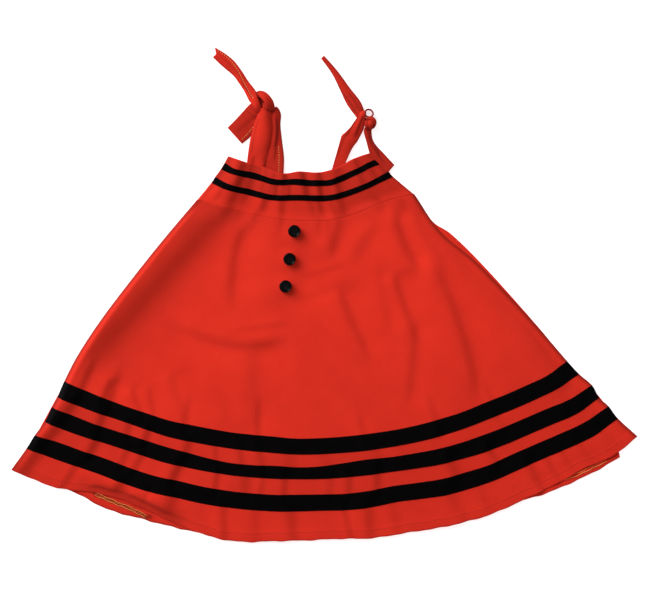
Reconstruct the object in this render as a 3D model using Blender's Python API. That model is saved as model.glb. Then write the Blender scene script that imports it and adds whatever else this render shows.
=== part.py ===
"""A small child's sarafan, a sleeveless sundress with tied shoulder straps, laid flat on its back.

The dress lies face up with its neck towards +Y. Lengths in the tables are millimetres, measured
from the middle of the laid dress, and become metres when a mesh is made. The back panels lie on
the surface, the front panels lie on them, and the trimmings lie on the front panels' own points.
"""

from collections import namedtuple

import bmesh
import bpy
import numpy as np

MM = 0.001

# Cloth and gaps
SEAM_GAP = 0.3
BACK_WALL = 1.5
FRONT_WALL = 1.4
STRAP_WALL = 1.2
RIBBON_WALL = 1.0
STRAP_LEVEL = BACK_WALL + SEAM_GAP
FRONT_LEVEL = BACK_WALL + SEAM_GAP
BACK_INSET = 1.0

# How the front lies over the back
LOFT = 6.0
SIDE_FADE = 24.0
YOKE_GATHERS = 9
YOKE_GATHER_HEIGHT = 1.4
GATHER_REACH = 46.0
HEM_WAVE_REACH = 150.0

# Grid steps
SKIRT_COLUMNS = 60
BACK_COLUMNS = 30
YOKE_COLUMNS = 45
STRAP_COLUMNS = 4
STEPS_PER_STATION = 3

# Buttons
BUTTON_RADIUS = 8.3
BUTTON_HEIGHT = 3.2
BUTTON_CLEARING = 15.0
BUTTONS = ((-39.1, 83.7), (-45.3, 46.5), (-50.7, 10.3))

# Colours as linear values
RED = (0.72, 0.028, 0.014, 1.0)
BLACK = (0.003, 0.002, 0.003, 1.0)

# A line across a panel: its two ends, how far it falls below the straight line between them at
# evenly spaced places, how far the cloth is raised there, and the grid steps to the next line.
Line = namedtuple("Line", "name left_x left_y right_x right_y falls raised steps")

SEAM_FALLS = (12, 21, 29, 32, 32, 22, 8)

YOKE_LINES = (
    Line("neck", -126.9, 183.8, 63.7, 189.0, (9, 16, 25, 23, 25, 20, 8), 1.5, 1),
    Line("upper_ribbon_top", -131.7, 175.0, 71.4, 180.7, (11, 18, 23, 24, 26, 22, 10), 1.5, 1),
    Line("upper_ribbon_end", -137.0, 166.3, 77.7, 173.7, (11, 18, 23, 25, 26, 21, 10), 1.5, 1),
    Line("lower_ribbon_top", -144.3, 156.3, 86.3, 163.7, (12, 20, 26, 27, 28, 23, 13), 1.5, 1),
    Line("lower_ribbon_end", -149.7, 148.3, 92.3, 156.3, (12, 21, 26, 27, 29, 23, 12), 1.3, 2),
    Line("seam", -168.3, 126.3, 120.3, 133.7, SEAM_FALLS, 0.0, 0),
)

SKIRT_LINES = (
    Line("seam", -168.3, 126.3, 120.3, 133.7, SEAM_FALLS, 0.0, 4),
    Line("waist", -215.7, 72.3, 155.7, 83.0, (24, 40, 46, 42, 22), 0.0, 4),
    Line("hip", -258.3, 19.0, 203.0, 43.0, (32, 51, 58, 54, 31), 0.0, 4),
    Line("thigh", -298.3, -34.3, 252.3, -7.7, (38, 62, 70, 65, 40), 0.0, 3),
    Line("knee", -327.7, -81.0, 295.0, -55.0, (44, 72, 82, 75, 48), 0.0, 3),
    Line("band_1_top", -345.7, -115.7, 324.3, -89.0,
         (26, 48, 64, 77, 85, 90, 88, 82, 70, 52, 31), 0.0, 1),
    Line("band_1_end", -355.0, -137.0, 340.3, -106.3,
         (25, 47, 66, 78, 87, 91, 89, 82, 71, 52, 30), 0.0, 1),
    Line("band_2_top", -362.3, -150.3, 357.3, -121.0,
         (27, 48, 68, 85, 90, 93, 87, 82, 71, 52, 29), 0.0, 1),
    Line("band_2_end", -371.7, -169.9, 367.0, -137.9,
         (26, 48, 67, 81, 89, 92, 89, 83, 73, 55, 31), 0.0, 1),
    Line("band_3_top", -385.0, -187.7, 379.4, -149.0,
         (25, 50, 71, 87, 96, 98, 96, 90, 79, 58, 33), 0.0, 1),
    Line("band_3_end", -396.1, -205.4, 391.9, -165.4,
         (27, 54, 75, 90, 100, 102, 101, 93, 82, 61, 35), 0.0, 3),
    Line("hem", -416.3, -234.3, 418.1, -189.3,
         (29, 44, 78, 107, 114, 115, 116, 107, 95, 73, 45), 0.0, 0),
)

BACK_LINES = (
    Line("seam", -167.0, 125.3, 118.5, 132.7, SEAM_FALLS, 0.0, 1),
    Line("notch", -191.7, 96.3, 145.0, 97.3, (19, 33, 40, 36, 20), 0.0, 1),
    Line("waist", -213.7, 72.3, 169.7, 79.0, (26, 42, 52, 46, 28), 0.0, 1),
    Line("hip", -256.3, 19.0, 216.3, 32.3, (36, 55, 66, 60, 37), 0.0, 2),
    Line("knee", -309.7, -57.0, 286.0, -46.3, (44, 68, 80, 74, 45), 0.0, 2),
    Line("band_1", -349.0, -125.0, 327.3, -96.3, (47, 78, 90, 82, 52), 0.0, 2),
    Line("band_3", -389.0, -197.0, 379.0, -153.0, (50, 87, 98, 89, 58), 0.0, 2),
    Line("hem", -413.0, -233.0, 394.9, -217.4,
         (24, 57, 76, 95, 100, 99, 99, 89, 78, 57, 32), 0.0, 0),
)

# A fold of the skirt front: a curve from its start through its middle to its end, its height,
# which is below zero for a trough, and its half width.
Fold = namedtuple("Fold", "name start_x start_y mid_x mid_y end_x end_y height width")

FOLDS = (
    Fold("long trough by the left side", -136, 119, -232, 6, -314, -108, -5.2, 13),
    Fold("ridge outside it", -165, 112, -256, 4, -334, -100, 1.8, 11),
    Fold("soft trough left of the buttons", -118, 79, -128, 39, -130, -8, -2.6, 8),
    Fold("ridge left of the buttons", -98, 78, -108, 43, -110, 3, 1.6, 8),
    Fold("drag under the buttons", -212, -32, -145, -69, -52, -58, -3.6, 8),
    Fold("upper drag", -145, -41, -98, -48, -42, -37, -2.0, 6),
    Fold("wedge under the yoke", 18, 112, 16, 86, 12, 56, -4.2, 8),
    Fold("ridge right of the wedge", 75, 106, 48, 83, 28, 52, 2.6, 9),
    Fold("drag right of the buttons", -26, 26, 15, 30, 55, 59, -1.6, 7),
    Fold("slanting crease", 28, 6, 44, -41, 64, -88, -3.6, 7),
    Fold("soft trough right of the middle", 78, 43, 80, 6, 72, -48, -2.0, 8),
    Fold("narrow upright crease", 104, -8, 114, -48, 112, -148, -3.2, 7),
    Fold("long crease by the right side", 142, 39, 176, -32, 200, -125, -4.6, 8),
    Fold("trough from the yoke's right", 95, 119, 104, 72, 134, 35, -3.8, 9),
    Fold("ridge by the right side", 122, 113, 155, 52, 184, -8, 1.8, 10),
    Fold("upright trough below the drag", -98, -74, -92, -134, -96, -200, -2.2, 10),
    Fold("lifted hem at the left", -318, -252, -280, -262, -235, -284, 4.0, 20),
)

# A wave that runs down to the hem: its place from left 0 to right 1, its depth and half width.
Wave = namedtuple("Wave", "place depth width")

HEM_WAVES = (
    Wave(0.060, 1.8, 12),
    Wave(0.130, 2.4, 13),
    Wave(0.200, 2.0, 11),
    Wave(0.258, 2.6, 12),
    Wave(0.330, 1.6, 14),
    Wave(0.405, 1.8, 13),
    Wave(0.453, 2.0, 10),
    Wave(0.520, 1.6, 14),
    Wave(0.572, 2.4, 12),
    Wave(0.640, 1.8, 14),
    Wave(0.705, 2.2, 14),
    Wave(0.770, 2.4, 12),
    Wave(0.845, 2.2, 14),
    Wave(0.920, 1.8, 12),
)

# A place along a strap: its two edges, the height of its underside, and how far its middle arches.
Station = namedtuple("Station", "left_x left_y right_x right_y level arch")

STRAPS = {
    "strap_left_front": (
        Station(-103.0, 161.7, -79.7, 157.7, STRAP_LEVEL, 0.0),
        Station(-102.3, 175.0, -78.1, 171.0, STRAP_LEVEL, 0.0),
        Station(-100.6, 189.7, -73.7, 187.0, 0.8, 1.8),
        Station(-97.9, 206.3, -68.3, 204.3, 0.0, 4.0),
        Station(-93.0, 225.7, -65.3, 223.0, 0.0, 4.5),
        Station(-87.0, 240.4, -68.3, 242.0, 0.0, 4.0),
    ),
    "strap_left_back": (
        Station(-79.1, 157.7, -54.3, 152.3, STRAP_LEVEL, 0.0),
        Station(-77.5, 171.0, -53.3, 164.0, STRAP_LEVEL, 0.0),
        Station(-73.1, 187.0, -53.0, 181.7, 0.8, 1.0),
        Station(-67.7, 204.3, -55.6, 204.0, 0.0, 1.6),
        Station(-64.7, 223.0, -57.8, 225.0, 0.0, 1.6),
        Station(-67.7, 242.3, -62.0, 248.0, 0.0, 1.6),
    ),
    "tail_left_long": (
        Station(-147.7, 315.7, -144.7, 329.0, 0.0, 0.6),
        Station(-135.7, 304.3, -131.7, 321.0, 0.0, 1.6),
        Station(-121.0, 291.7, -119.8, 311.2, 0.0, 2.0),
        Station(-114.3, 283.0, -110.0, 298.5, 0.0, 2.4),
        Station(-106.3, 271.0, -101.0, 284.5, 0.0, 3.0),
        Station(-96.8, 256.1, -90.6, 268.6, 0.0, 3.4),
    ),
    "tail_left_short": (
        Station(-109.0, 200.3, -128.3, 221.9, 0.0, 0.6),
        Station(-98.6, 207.5, -118.3, 231.7, 0.0, 1.2),
        Station(-94.8, 222.3, -107.7, 243.0, 0.0, 1.6),
        Station(-90.9, 233.0, -97.6, 253.6, 0.0, 2.4),
    ),
    "strap_right_front": (
        Station(6.3, 151.0, 25.7, 165.7, STRAP_LEVEL, 0.0),
        Station(9.7, 163.0, 29.7, 176.3, STRAP_LEVEL, 0.0),
        Station(16.3, 185.7, 37.7, 193.7, 0.8, 1.6),
        Station(23.7, 211.0, 45.7, 208.3, 0.0, 2.8),
        Station(35.0, 220.5, 50.7, 219.5, 0.0, 3.0),
        Station(40.3, 229.7, 52.4, 230.7, 0.0, 3.0),
        Station(44.3, 233.7, 53.0, 243.2, 0.0, 2.4),
    ),
    "strap_right_back": (
        Station(53.3, 216.0, 63.7, 216.2, 0.0, 2.0),
        Station(56.3, 204.3, 66.7, 203.0, 0.3, 1.6),
        Station(60.3, 189.7, 79.3, 188.4, STRAP_LEVEL, 0.0),
        Station(66.3, 173.7, 87.7, 179.3, STRAP_LEVEL, 0.0),
        Station(83.7, 159.8, 94.3, 172.3, STRAP_LEVEL, 0.0),
    ),
    "tail_right": (
        Station(-3.7, 314.3, 0.3, 318.3, 0.0, 0.3),
        Station(11.0, 293.7, 17.7, 298.3, 0.0, 1.0),
        Station(21.7, 272.3, 33.7, 276.3, 0.0, 1.8),
        Station(28.3, 257.7, 44.3, 263.0, 0.0, 2.0),
        Station(36.3, 245.7, 50.0, 254.5, 0.0, 2.2),
        Station(43.9, 234.1, 52.6, 243.6, 0.0, 2.4),
    ),
}

# A knot: its middle, its half length and half width, how far it is turned in degrees, its height,
# and how many turns of cloth bulge round it.
Knot = namedtuple("Knot", "name x y half_length half_width turn height bulges")

KNOTS = (
    Knot("knot_left", -80.6, 255.1, 15.4, 13.4, -38.0, 14.0, 3),
    Knot("knot_right", 62.3, 225.4, 8.2, 8.4, 0.0, 12.0, 3),
)
KNOT_BULGE = 0.05

# The loop is strap tape standing on its edge beside the right knot.
LOOP = {"x": 60.2, "y": 240.9, "inner": 4.3, "outer": 6.4, "height": 8.0, "sides": 20}


def material(name, colour, roughness):
    """Plain surface of one colour."""
    made = bpy.data.materials.new(name)
    made.use_nodes = True
    surface = made.node_tree.nodes["Principled BSDF"]
    surface.inputs["Base Color"].default_value = colour
    surface.inputs["Roughness"].default_value = roughness
    surface.inputs["Metallic"].default_value = 0.0
    return made


def piece(name, points, faces, colour, roughness):
    """One named solid from points in millimetres."""
    mesh = bpy.data.meshes.new(name)
    mesh.from_pydata((np.asarray(points) * MM).tolist(), [], faces)
    shape = bmesh.new()
    shape.from_mesh(mesh)
    bmesh.ops.recalc_face_normals(shape, faces=shape.faces)
    shape.to_mesh(mesh)
    shape.free()
    mesh.set_sharp_from_angle(angle=np.radians(50))
    made = bpy.data.objects.new(name, mesh)
    bpy.context.collection.objects.link(made)
    mesh.materials.append(material(name + "_surface", colour, roughness))
    return made


def wall(name, under, over, colour, roughness):
    """Closed sheet between two grids of points, joined round their border."""
    rows, columns = under.shape[:2]
    index = np.arange(rows * columns).reshape(rows, columns)
    top = index + rows * columns
    quads = np.stack([top[:-1, :-1], top[1:, :-1], top[1:, 1:], top[:-1, 1:]], -1).reshape(-1, 4)
    below = np.stack([index[:-1, :-1], index[:-1, 1:], index[1:, 1:], index[1:, :-1]], -1)
    edge = np.concatenate(
        [index[0, :-1], index[:-1, -1], index[-1, :0:-1], index[:0:-1, 0]]
    )
    after = np.roll(edge, -1)
    lift = rows * columns
    rim = np.stack([edge, edge + lift, after + lift, after], -1)
    faces = np.vstack([quads, below.reshape(-1, 4), rim]).tolist()
    points = np.vstack([under.reshape(-1, 3), over.reshape(-1, 3)])
    return piece(name, points, faces, colour, roughness)


def turned(x, y, level, profile, sides, half_length, half_width, turn=0.0, ripple=0.0, bulges=0):
    """Points and faces of a profile of radius and height turned about an upright axis.

    The round is an ellipse turned by an angle, and its radius grows and shrinks by the ripple as
    often as there are bulges.
    """
    around = np.arange(sides) * 2 * np.pi / sides
    size = 1 + ripple * np.cos(bulges * around)
    long, wide = half_length * size * np.cos(around), half_width * size * np.sin(around)
    cos, sin = np.cos(np.radians(turn)), np.sin(np.radians(turn))
    rings = [
        np.stack(
            [
                x + radius * (long * cos - wide * sin),
                y + radius * (long * sin + wide * cos),
                np.full(sides, level + height),
            ],
            -1,
        )
        for radius, height in profile[1:-1]
    ]
    bottom, top = len(rings) * sides, len(rings) * sides + 1
    ends = [[x, y, level + profile[0][1]], [x, y, level + profile[-1][1]]]
    faces = []
    for i in range(sides):
        j = (i + 1) % sides
        faces.append((bottom, j, i))
        faces.append((top, i + (len(rings) - 1) * sides, j + (len(rings) - 1) * sides))
        for ring in range(len(rings) - 1):
            low, high = ring * sides, (ring + 1) * sides
            faces.append((low + i, low + j, high + j, high + i))
    return np.vstack(rings + [np.array(ends)]), faces


def smooth_through(values, at):
    """Curve through evenly spaced values, each span a cubic of its four neighbours."""
    values = np.asarray(values, float)
    before, beyond = 2 * values[0] - values[1], 2 * values[-1] - values[-2]
    knots = np.concatenate([[before], values, [beyond]])
    spans = len(values) - 1
    place = np.clip(np.asarray(at, float), 0, 1) * spans
    span = np.minimum(place.astype(int), spans - 1)
    t = (place - span).reshape((-1,) + (1,) * (values.ndim - 1))
    a, b, c, d = (knots[span + k] for k in range(4))
    bend = 2 * a - 5 * b + 4 * c - d + t * (3 * (b - c) + d - a)
    return b + 0.5 * t * (c - a + t * bend)


def smooth_step(x):
    """Rises from 0 to 1 as x does, level at both ends."""
    x = np.clip(x, 0, 1)
    return x * x * (3 - 2 * x)


def panel_grid(lines, columns):
    """Points of a panel in plan, row by row, with each row's raise and each line's row."""
    across = np.linspace(0, 1, columns + 1)
    rows = []
    for line in lines:
        fall = smooth_through((0, *line.falls, 0), across)
        x = line.left_x + (line.right_x - line.left_x) * across
        y = line.left_y + (line.right_y - line.left_y) * across - fall
        rows.append(np.stack([x, y, np.full_like(x, line.raised)], -1))
    steps = [0, *np.cumsum([line.steps for line in lines[:-1]])]
    down = np.concatenate(
        [k + np.arange(line.steps) / line.steps for k, line in enumerate(lines[:-1])]
        + [[len(lines) - 1]]
    )
    grid = smooth_through(rows, down / (len(lines) - 1))
    return grid[..., :2], grid[..., 2], {line.name: row for line, row in zip(lines, steps)}


def fold_height(plan, fold):
    """Height that one fold adds: a soft ridge along its curve, fading out at both ends."""
    start, mid, end = np.array(fold[1:7], float).reshape(3, 2)
    t = np.linspace(0, 1, 25)[:, None]
    pull = 2 * mid - (start + end) / 2
    curve = (1 - t) ** 2 * start + 2 * t * (1 - t) * pull + t**2 * end
    away = np.linalg.norm(plan[..., None, :] - curve, axis=-1)
    near = away.argmin(-1)
    along = t[near, 0]
    taper = smooth_step(along / 0.3) * smooth_step((1 - along) / 0.3)
    return fold.height * taper * np.exp(-((away.min(-1) / fold.width) ** 2))


def gathers(across):
    """Upright waves from 0 to 1 with uneven spacing."""
    uneven = across + 0.018 * np.sin(2 * np.pi * 2.3 * across) + 0.01 * np.sin(2 * np.pi * 5 * across)
    return 0.5 - 0.5 * np.cos(2 * np.pi * YOKE_GATHERS * uneven)


def side_fade(plan):
    """0 at a panel's side edges, rising to 1 a short way in."""
    width = np.linalg.norm(plan[:, -1] - plan[:, 0], axis=-1)[:, None]
    across = np.linspace(0, 1, plan.shape[1])[None, :]
    return smooth_step(np.minimum(across, 1 - across) * width / SIDE_FADE)


def skirt_height(plan):
    """How far the skirt front lies above the back, over its whole grid."""
    across = np.linspace(0, 1, plan.shape[1])[None, :]
    from_seam = np.linalg.norm(plan - plan[:1], axis=-1)
    from_hem = np.linalg.norm(plan - plan[-1:], axis=-1)
    height = LOFT * (0.25 + 0.75 * smooth_step(from_seam / 60))
    height = height * (0.55 + 0.45 * smooth_step(from_hem / 60))
    height = height + sum(fold_height(plan, fold) for fold in FOLDS)
    height = height + YOKE_GATHER_HEIGHT * gathers(across) * (1 - smooth_step(from_seam / GATHER_REACH))
    width = np.linalg.norm(plan[-1, -1] - plan[-1, 0])
    reach = 1 - smooth_step(from_hem / HEM_WAVE_REACH)
    for wave in HEM_WAVES:
        away = (across - wave.place) * width / wave.width
        height = height - wave.depth * reach * np.exp(-(away**2))
    for x, y in BUTTONS:
        away = np.linalg.norm(plan - (x, y), axis=-1)
        calm = np.exp(-((away / BUTTON_CLEARING) ** 2))
        height = height * (1 - calm) + LOFT * calm
    return np.maximum(height, 0) * side_fade(plan)


def with_height(plan, height):
    """Plan points and their heights as points in space."""
    return np.concatenate([plan, np.broadcast_to(height, plan.shape[:2])[..., None]], -1)


def ribbon(name, over, first, last):
    """Ribbon on a panel's own rows, moved up off it."""
    under = over[first : last + 1] + (0, 0, SEAM_GAP)
    wall(name, under, under + (0, 0, RIBBON_WALL), BLACK, 0.7)


def yoke():
    """Yoke front with its two ribbons, and the yoke back under it."""
    plan, raised, row = panel_grid(YOKE_LINES, YOKE_COLUMNS)
    across = np.linspace(0, 1, YOKE_COLUMNS + 1)[None, :]
    waves = YOKE_GATHER_HEIGHT * gathers(across) * side_fade(plan)
    plan[row["seam"], :, 1] += SEAM_GAP
    under = with_height(plan, FRONT_LEVEL + raised + waves)
    over = under + (0, 0, FRONT_WALL)
    wall("yoke_front", under, over, RED, 0.85)
    ribbon("yoke_ribbon_upper", over, row["upper_ribbon_top"], row["upper_ribbon_end"])
    ribbon("yoke_ribbon_lower", over, row["lower_ribbon_top"], row["lower_ribbon_end"])
    back = plan[[row["neck"], row["lower_ribbon_top"], row["seam"]]].copy()
    back[:, :, 0] += BACK_INSET * np.linspace(1, -1, YOKE_COLUMNS + 1)
    back[0, :, 1] -= BACK_INSET
    back = back[:, ::3]
    wall("yoke_back", with_height(back, 0.0), with_height(back, BACK_WALL), RED, 0.85)


def skirt():
    """Skirt front with its folds and its three ribbons, and the flat skirt back under it."""
    plan, _, row = panel_grid(SKIRT_LINES, SKIRT_COLUMNS)
    under = with_height(plan, FRONT_LEVEL + skirt_height(plan))
    over = under + (0, 0, FRONT_WALL)
    wall("skirt_front", under, over, RED, 0.85)
    for band in ("1", "2", "3"):
        ribbon("hem_band_" + band, over, row[f"band_{band}_top"], row[f"band_{band}_end"])
    back, _, _ = panel_grid(BACK_LINES, BACK_COLUMNS)
    wall("skirt_back", with_height(back, 0.0), with_height(back, BACK_WALL), RED, 0.85)
    return over


def straps():
    """Shoulder straps and their free ends: arched strips through their stations."""
    across = np.linspace(0, 1, STRAP_COLUMNS + 1)[None, :, None]
    for name, stations in STRAPS.items():
        steps = STEPS_PER_STATION * (len(stations) - 1)
        along = smooth_through(stations, np.linspace(0, 1, steps + 1))
        left, right = along[:, None, 0:2], along[:, None, 2:4]
        plan = left + (right - left) * across
        arch = along[:, None, 5] * (1 - (2 * across[..., 0] - 1) ** 2)
        under = with_height(plan, np.maximum(along[:, None, 4] + arch, 0))
        wall(name, under, under + (0, 0, STRAP_WALL), RED, 0.85)


def knots():
    """Domed knots with a few bulging turns of cloth."""
    heights = np.linspace(0, 1, 6)
    for knot in KNOTS:
        dome = [(np.cos(t * np.pi / 2) ** 0.6, knot.height * np.sin(t * np.pi / 2)) for t in heights]
        profile = [(0.0, 0.0), *dome[:-1], (0.0, knot.height)]
        points, faces = turned(
            knot.x, knot.y, 0.0, profile, 24, knot.half_length, knot.half_width,
            knot.turn, KNOT_BULGE, knot.bulges,
        )
        piece(knot.name, points, faces, RED, 0.85)


def loop():
    """Ring of strap tape standing on its edge."""
    around = np.arange(LOOP["sides"]) * 2 * np.pi / LOOP["sides"]
    corners = (("outer", 0.0), ("outer", LOOP["height"]), ("inner", LOOP["height"]), ("inner", 0.0))
    rings = [
        np.stack(
            [
                LOOP["x"] + LOOP[side] * np.cos(around),
                LOOP["y"] + LOOP[side] * np.sin(around),
                np.full_like(around, height),
            ],
            -1,
        )
        for side, height in corners
    ]
    sides = LOOP["sides"]
    faces = []
    for ring in range(4):
        low, high = ring * sides, (ring + 1) % 4 * sides
        for i in range(sides):
            j = (i + 1) % sides
            faces.append((low + i, low + j, high + j, high + i))
    piece("loop_right", np.vstack(rings), faces, RED, 0.85)


def buttons(panel):
    """Three buttons with a raised rim, each on the highest cloth under it."""
    profile = [
        (0.0, 0.0),
        (0.86, 0.0),
        (1.0, 0.9),
        (0.97, 2.4),
        (0.86, BUTTON_HEIGHT),
        (0.72, 2.5),
        (0.30, 2.1),
        (0.0, 2.0),
    ]
    for number, (x, y) in enumerate(BUTTONS, 1):
        away = np.linalg.norm(panel[..., :2] - (x, y), axis=-1)
        level = panel[away < BUTTON_CLEARING, 2].max() + SEAM_GAP
        name = f"button_{number}"
        points, faces = turned(x, y, level, profile, 24, BUTTON_RADIUS, BUTTON_RADIUS)
        piece(name, points, faces, BLACK, 0.25)


def main():
    """Clears the scene and makes every piece."""
    for thing in list(bpy.data.objects):
        bpy.data.objects.remove(thing, do_unlink=True)
    yoke()
    buttons(skirt())
    straps()
    knots()
    loop()


main()
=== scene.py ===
"""A small child's sarafan, laid flat on a pale floor with its shoulder straps tied.

Every piece is a surface of two parameters, worked out as a whole grid of points. Lengths in the
tables are millimetres from the middle of the laid dress, with the neck towards +Y, and become
metres when a mesh is made.
"""

from collections import namedtuple

import bmesh
import bpy
import numpy as np
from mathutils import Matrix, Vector


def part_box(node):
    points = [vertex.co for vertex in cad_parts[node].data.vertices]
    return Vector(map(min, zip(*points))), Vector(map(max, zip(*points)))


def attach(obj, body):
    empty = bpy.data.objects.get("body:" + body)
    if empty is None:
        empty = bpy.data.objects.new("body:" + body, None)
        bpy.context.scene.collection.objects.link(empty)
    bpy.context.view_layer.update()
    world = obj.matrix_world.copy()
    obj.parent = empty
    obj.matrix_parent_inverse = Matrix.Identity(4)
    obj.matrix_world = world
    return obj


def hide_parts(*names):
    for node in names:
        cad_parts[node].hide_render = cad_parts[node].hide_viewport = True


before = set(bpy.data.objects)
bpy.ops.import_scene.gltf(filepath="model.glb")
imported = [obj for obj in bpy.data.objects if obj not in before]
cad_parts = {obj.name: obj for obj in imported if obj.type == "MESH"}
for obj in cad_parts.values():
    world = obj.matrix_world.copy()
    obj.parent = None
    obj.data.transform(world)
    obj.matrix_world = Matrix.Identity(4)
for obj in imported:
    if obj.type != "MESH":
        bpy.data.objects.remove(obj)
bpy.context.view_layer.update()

bl_info = {
    "name": "Laid sarafan",
    "version": (1, 0, 0),
    "blender": (4, 5, 0),
    "location": "3D View > Sidebar > Sarafan",
    "description": "Makes the cloth, ties, trimmings and buttons of a sarafan that lies flat",
    "category": "Object",
}

BODY = "root"
MM = 0.001
COTTON = "woven_cotton_red"

# Spacing of the twist of a sewing thread, in metres
THREAD_TWIST = 0.0005

# Degrees from which an edge between faces is drawn sharp
SHARP_ANGLE = 62

# Levels of the laid cloth above the floor, its thickness where no setting gives it, and gaps
BACK_MIDDLE = 0.78
BACK_THICKNESS = 0.9
SIDE_SEAM_LEVEL = 1.3
LOWEST_TOP = 2.3
FRONT_BASE = 3.1
SEAM_LEVEL = 5.4
LOWEST_KNOT = 0.3
LOWEST_STRAP = 0.75
STRAP_THICKNESS = 1.2
OVERLOCK_LEVEL = 2.1
RIBBON_GAP = 0.12
BUTTON_GAP = 0.15

# How sharply a front stops falling at its lowest level, for each millimetre
STOP_SHARPNESS = 1.6

# Share of a sheet's thickness that is left at its very border
BORDER_SHARE = 0.15

# The skirt front's loft: its share at the yoke's seam, how far from there it is whole, and its
# share at the hem
SEAM_LOFT = 0.45
LOFT_REACH = 240.0
HEM_LOFT = 0.12

# Lengths over which the fronts settle towards their edges
LEFT_FADE = 9.0
RIGHT_FADE = 40.0
HEM_FADE = 130.0
SEAM_FADE = 34.0
YOKE_LEFT_FADE = 26.0
YOKE_RIGHT_FADE = 10.0
YOKE_SEAM_FADE = 16.0
BUTTON_CLEARING = 15.0

# How far from an edge the cloth rolls down to it, and how far it falls there
SIDE_ROLL = 3.2
HEM_ROLL, HEM_ROLL_DROP = 1.8, 0.8
SEAM_ROLL, SKIRT_SEAM_DROP, YOKE_SEAM_DROP = 2.2, 0.4, 0.3
NECK_ROLL, NECK_ROLL_DROP = 2.2, 0.9

# The yoke's seam: how far the yoke laps over the skirt, and the length its gathers are placed on
SEAM_LAP = 1.0
SEAM_LENGTH = 292.0

# The front's hem: breadth of what is turned up and over how much that ends, what it raises the
# cloth by, and the dent of its stitches
HEM_ALLOWANCE, HEM_END = 10.7, 2.5
HEM_RAISE = 0.3
STITCH_DENT, STITCH_DENT_WIDTH = 0.14, 1.3

# The back's hem: the same, then the share that it thickens the cloth by, and how much less even
# its edge is than the front's
BACK_HEM_ALLOWANCE, BACK_HEM_END = 8.4, 1.2
BACK_HEM_RAISE = 0.3
BACK_HEM_GAIN = 0.55
BACK_HEM_UNEVEN = 1.4

# The right of the hem, where the front lies low on the back: where it begins across the panel and
# over how much of it, how far the front comes down and how far from the hem, what its fade from the
# hem gains there, and what its edge rolls down less
RIGHT_START, RIGHT_SPAN = 0.72, 0.16
RIGHT_DROP, RIGHT_REACH = 1.1, 30.0
RIGHT_FADE_GAIN, RIGHT_ROLL_LOSS = 0.5, 0.5

# The same of the back, which comes up a little there
BACK_RIGHT_START, BACK_RIGHT_SPAN = 0.78, 0.08
BACK_RIGHT_RAISE, BACK_RIGHT_REACH = 0.2, 24.0

# A line across a panel: its two ends, how far it falls below the straight line between them at
# evenly spaced places, and how far the cloth is raised there.
Line = namedtuple("Line", "name left_x left_y right_x right_y falls raised")

SEAM_FALLS = (12, 21, 29, 32, 32, 22, 8)

YOKE_LINES = (
    Line("neck", -126.9, 183.8, 63.7, 189.0, (9, 16, 25, 23, 25, 20, 8), 5.4),
    Line("upper_ribbon_top", -131.7, 175.0, 71.4, 180.7,
         (8.4, 11.6, 13.9, 18.6, 23.1, 25, 24.2, 24.9,
          26.5, 26.9, 26.8, 22.2, 17.1, 12, 5.4), 5.2),
    Line("upper_ribbon_end", -137.0, 166.3, 77.7, 173.7,
         (6.7, 10.7, 13.7, 17.8, 22.5, 24.3, 24.1, 25.6,
          26.9, 27.2, 26.6, 22.2, 16.6, 10.9, 4.3), 4.8),
    Line("lower_ribbon_top", -144.3, 156.3, 86.3, 163.7,
         (8.9, 14.1, 17, 21.5, 25.7, 27.4, 27.4, 28.1,
          29, 29.5, 28.4, 24.4, 20, 14.7, 7.7), 4.2),
    Line("lower_ribbon_end", -149.7, 148.3, 92.3, 156.3,
         (8.1, 13.4, 16.8, 21.3, 25.2, 27.1, 27.3, 27.9,
          29.1, 29.6, 28.1, 24.2, 19.3, 13.4, 6.5), 3.6),
    Line("seam", -168.3, 126.3, 120.3, 133.7, SEAM_FALLS, 0.0),
)

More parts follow.
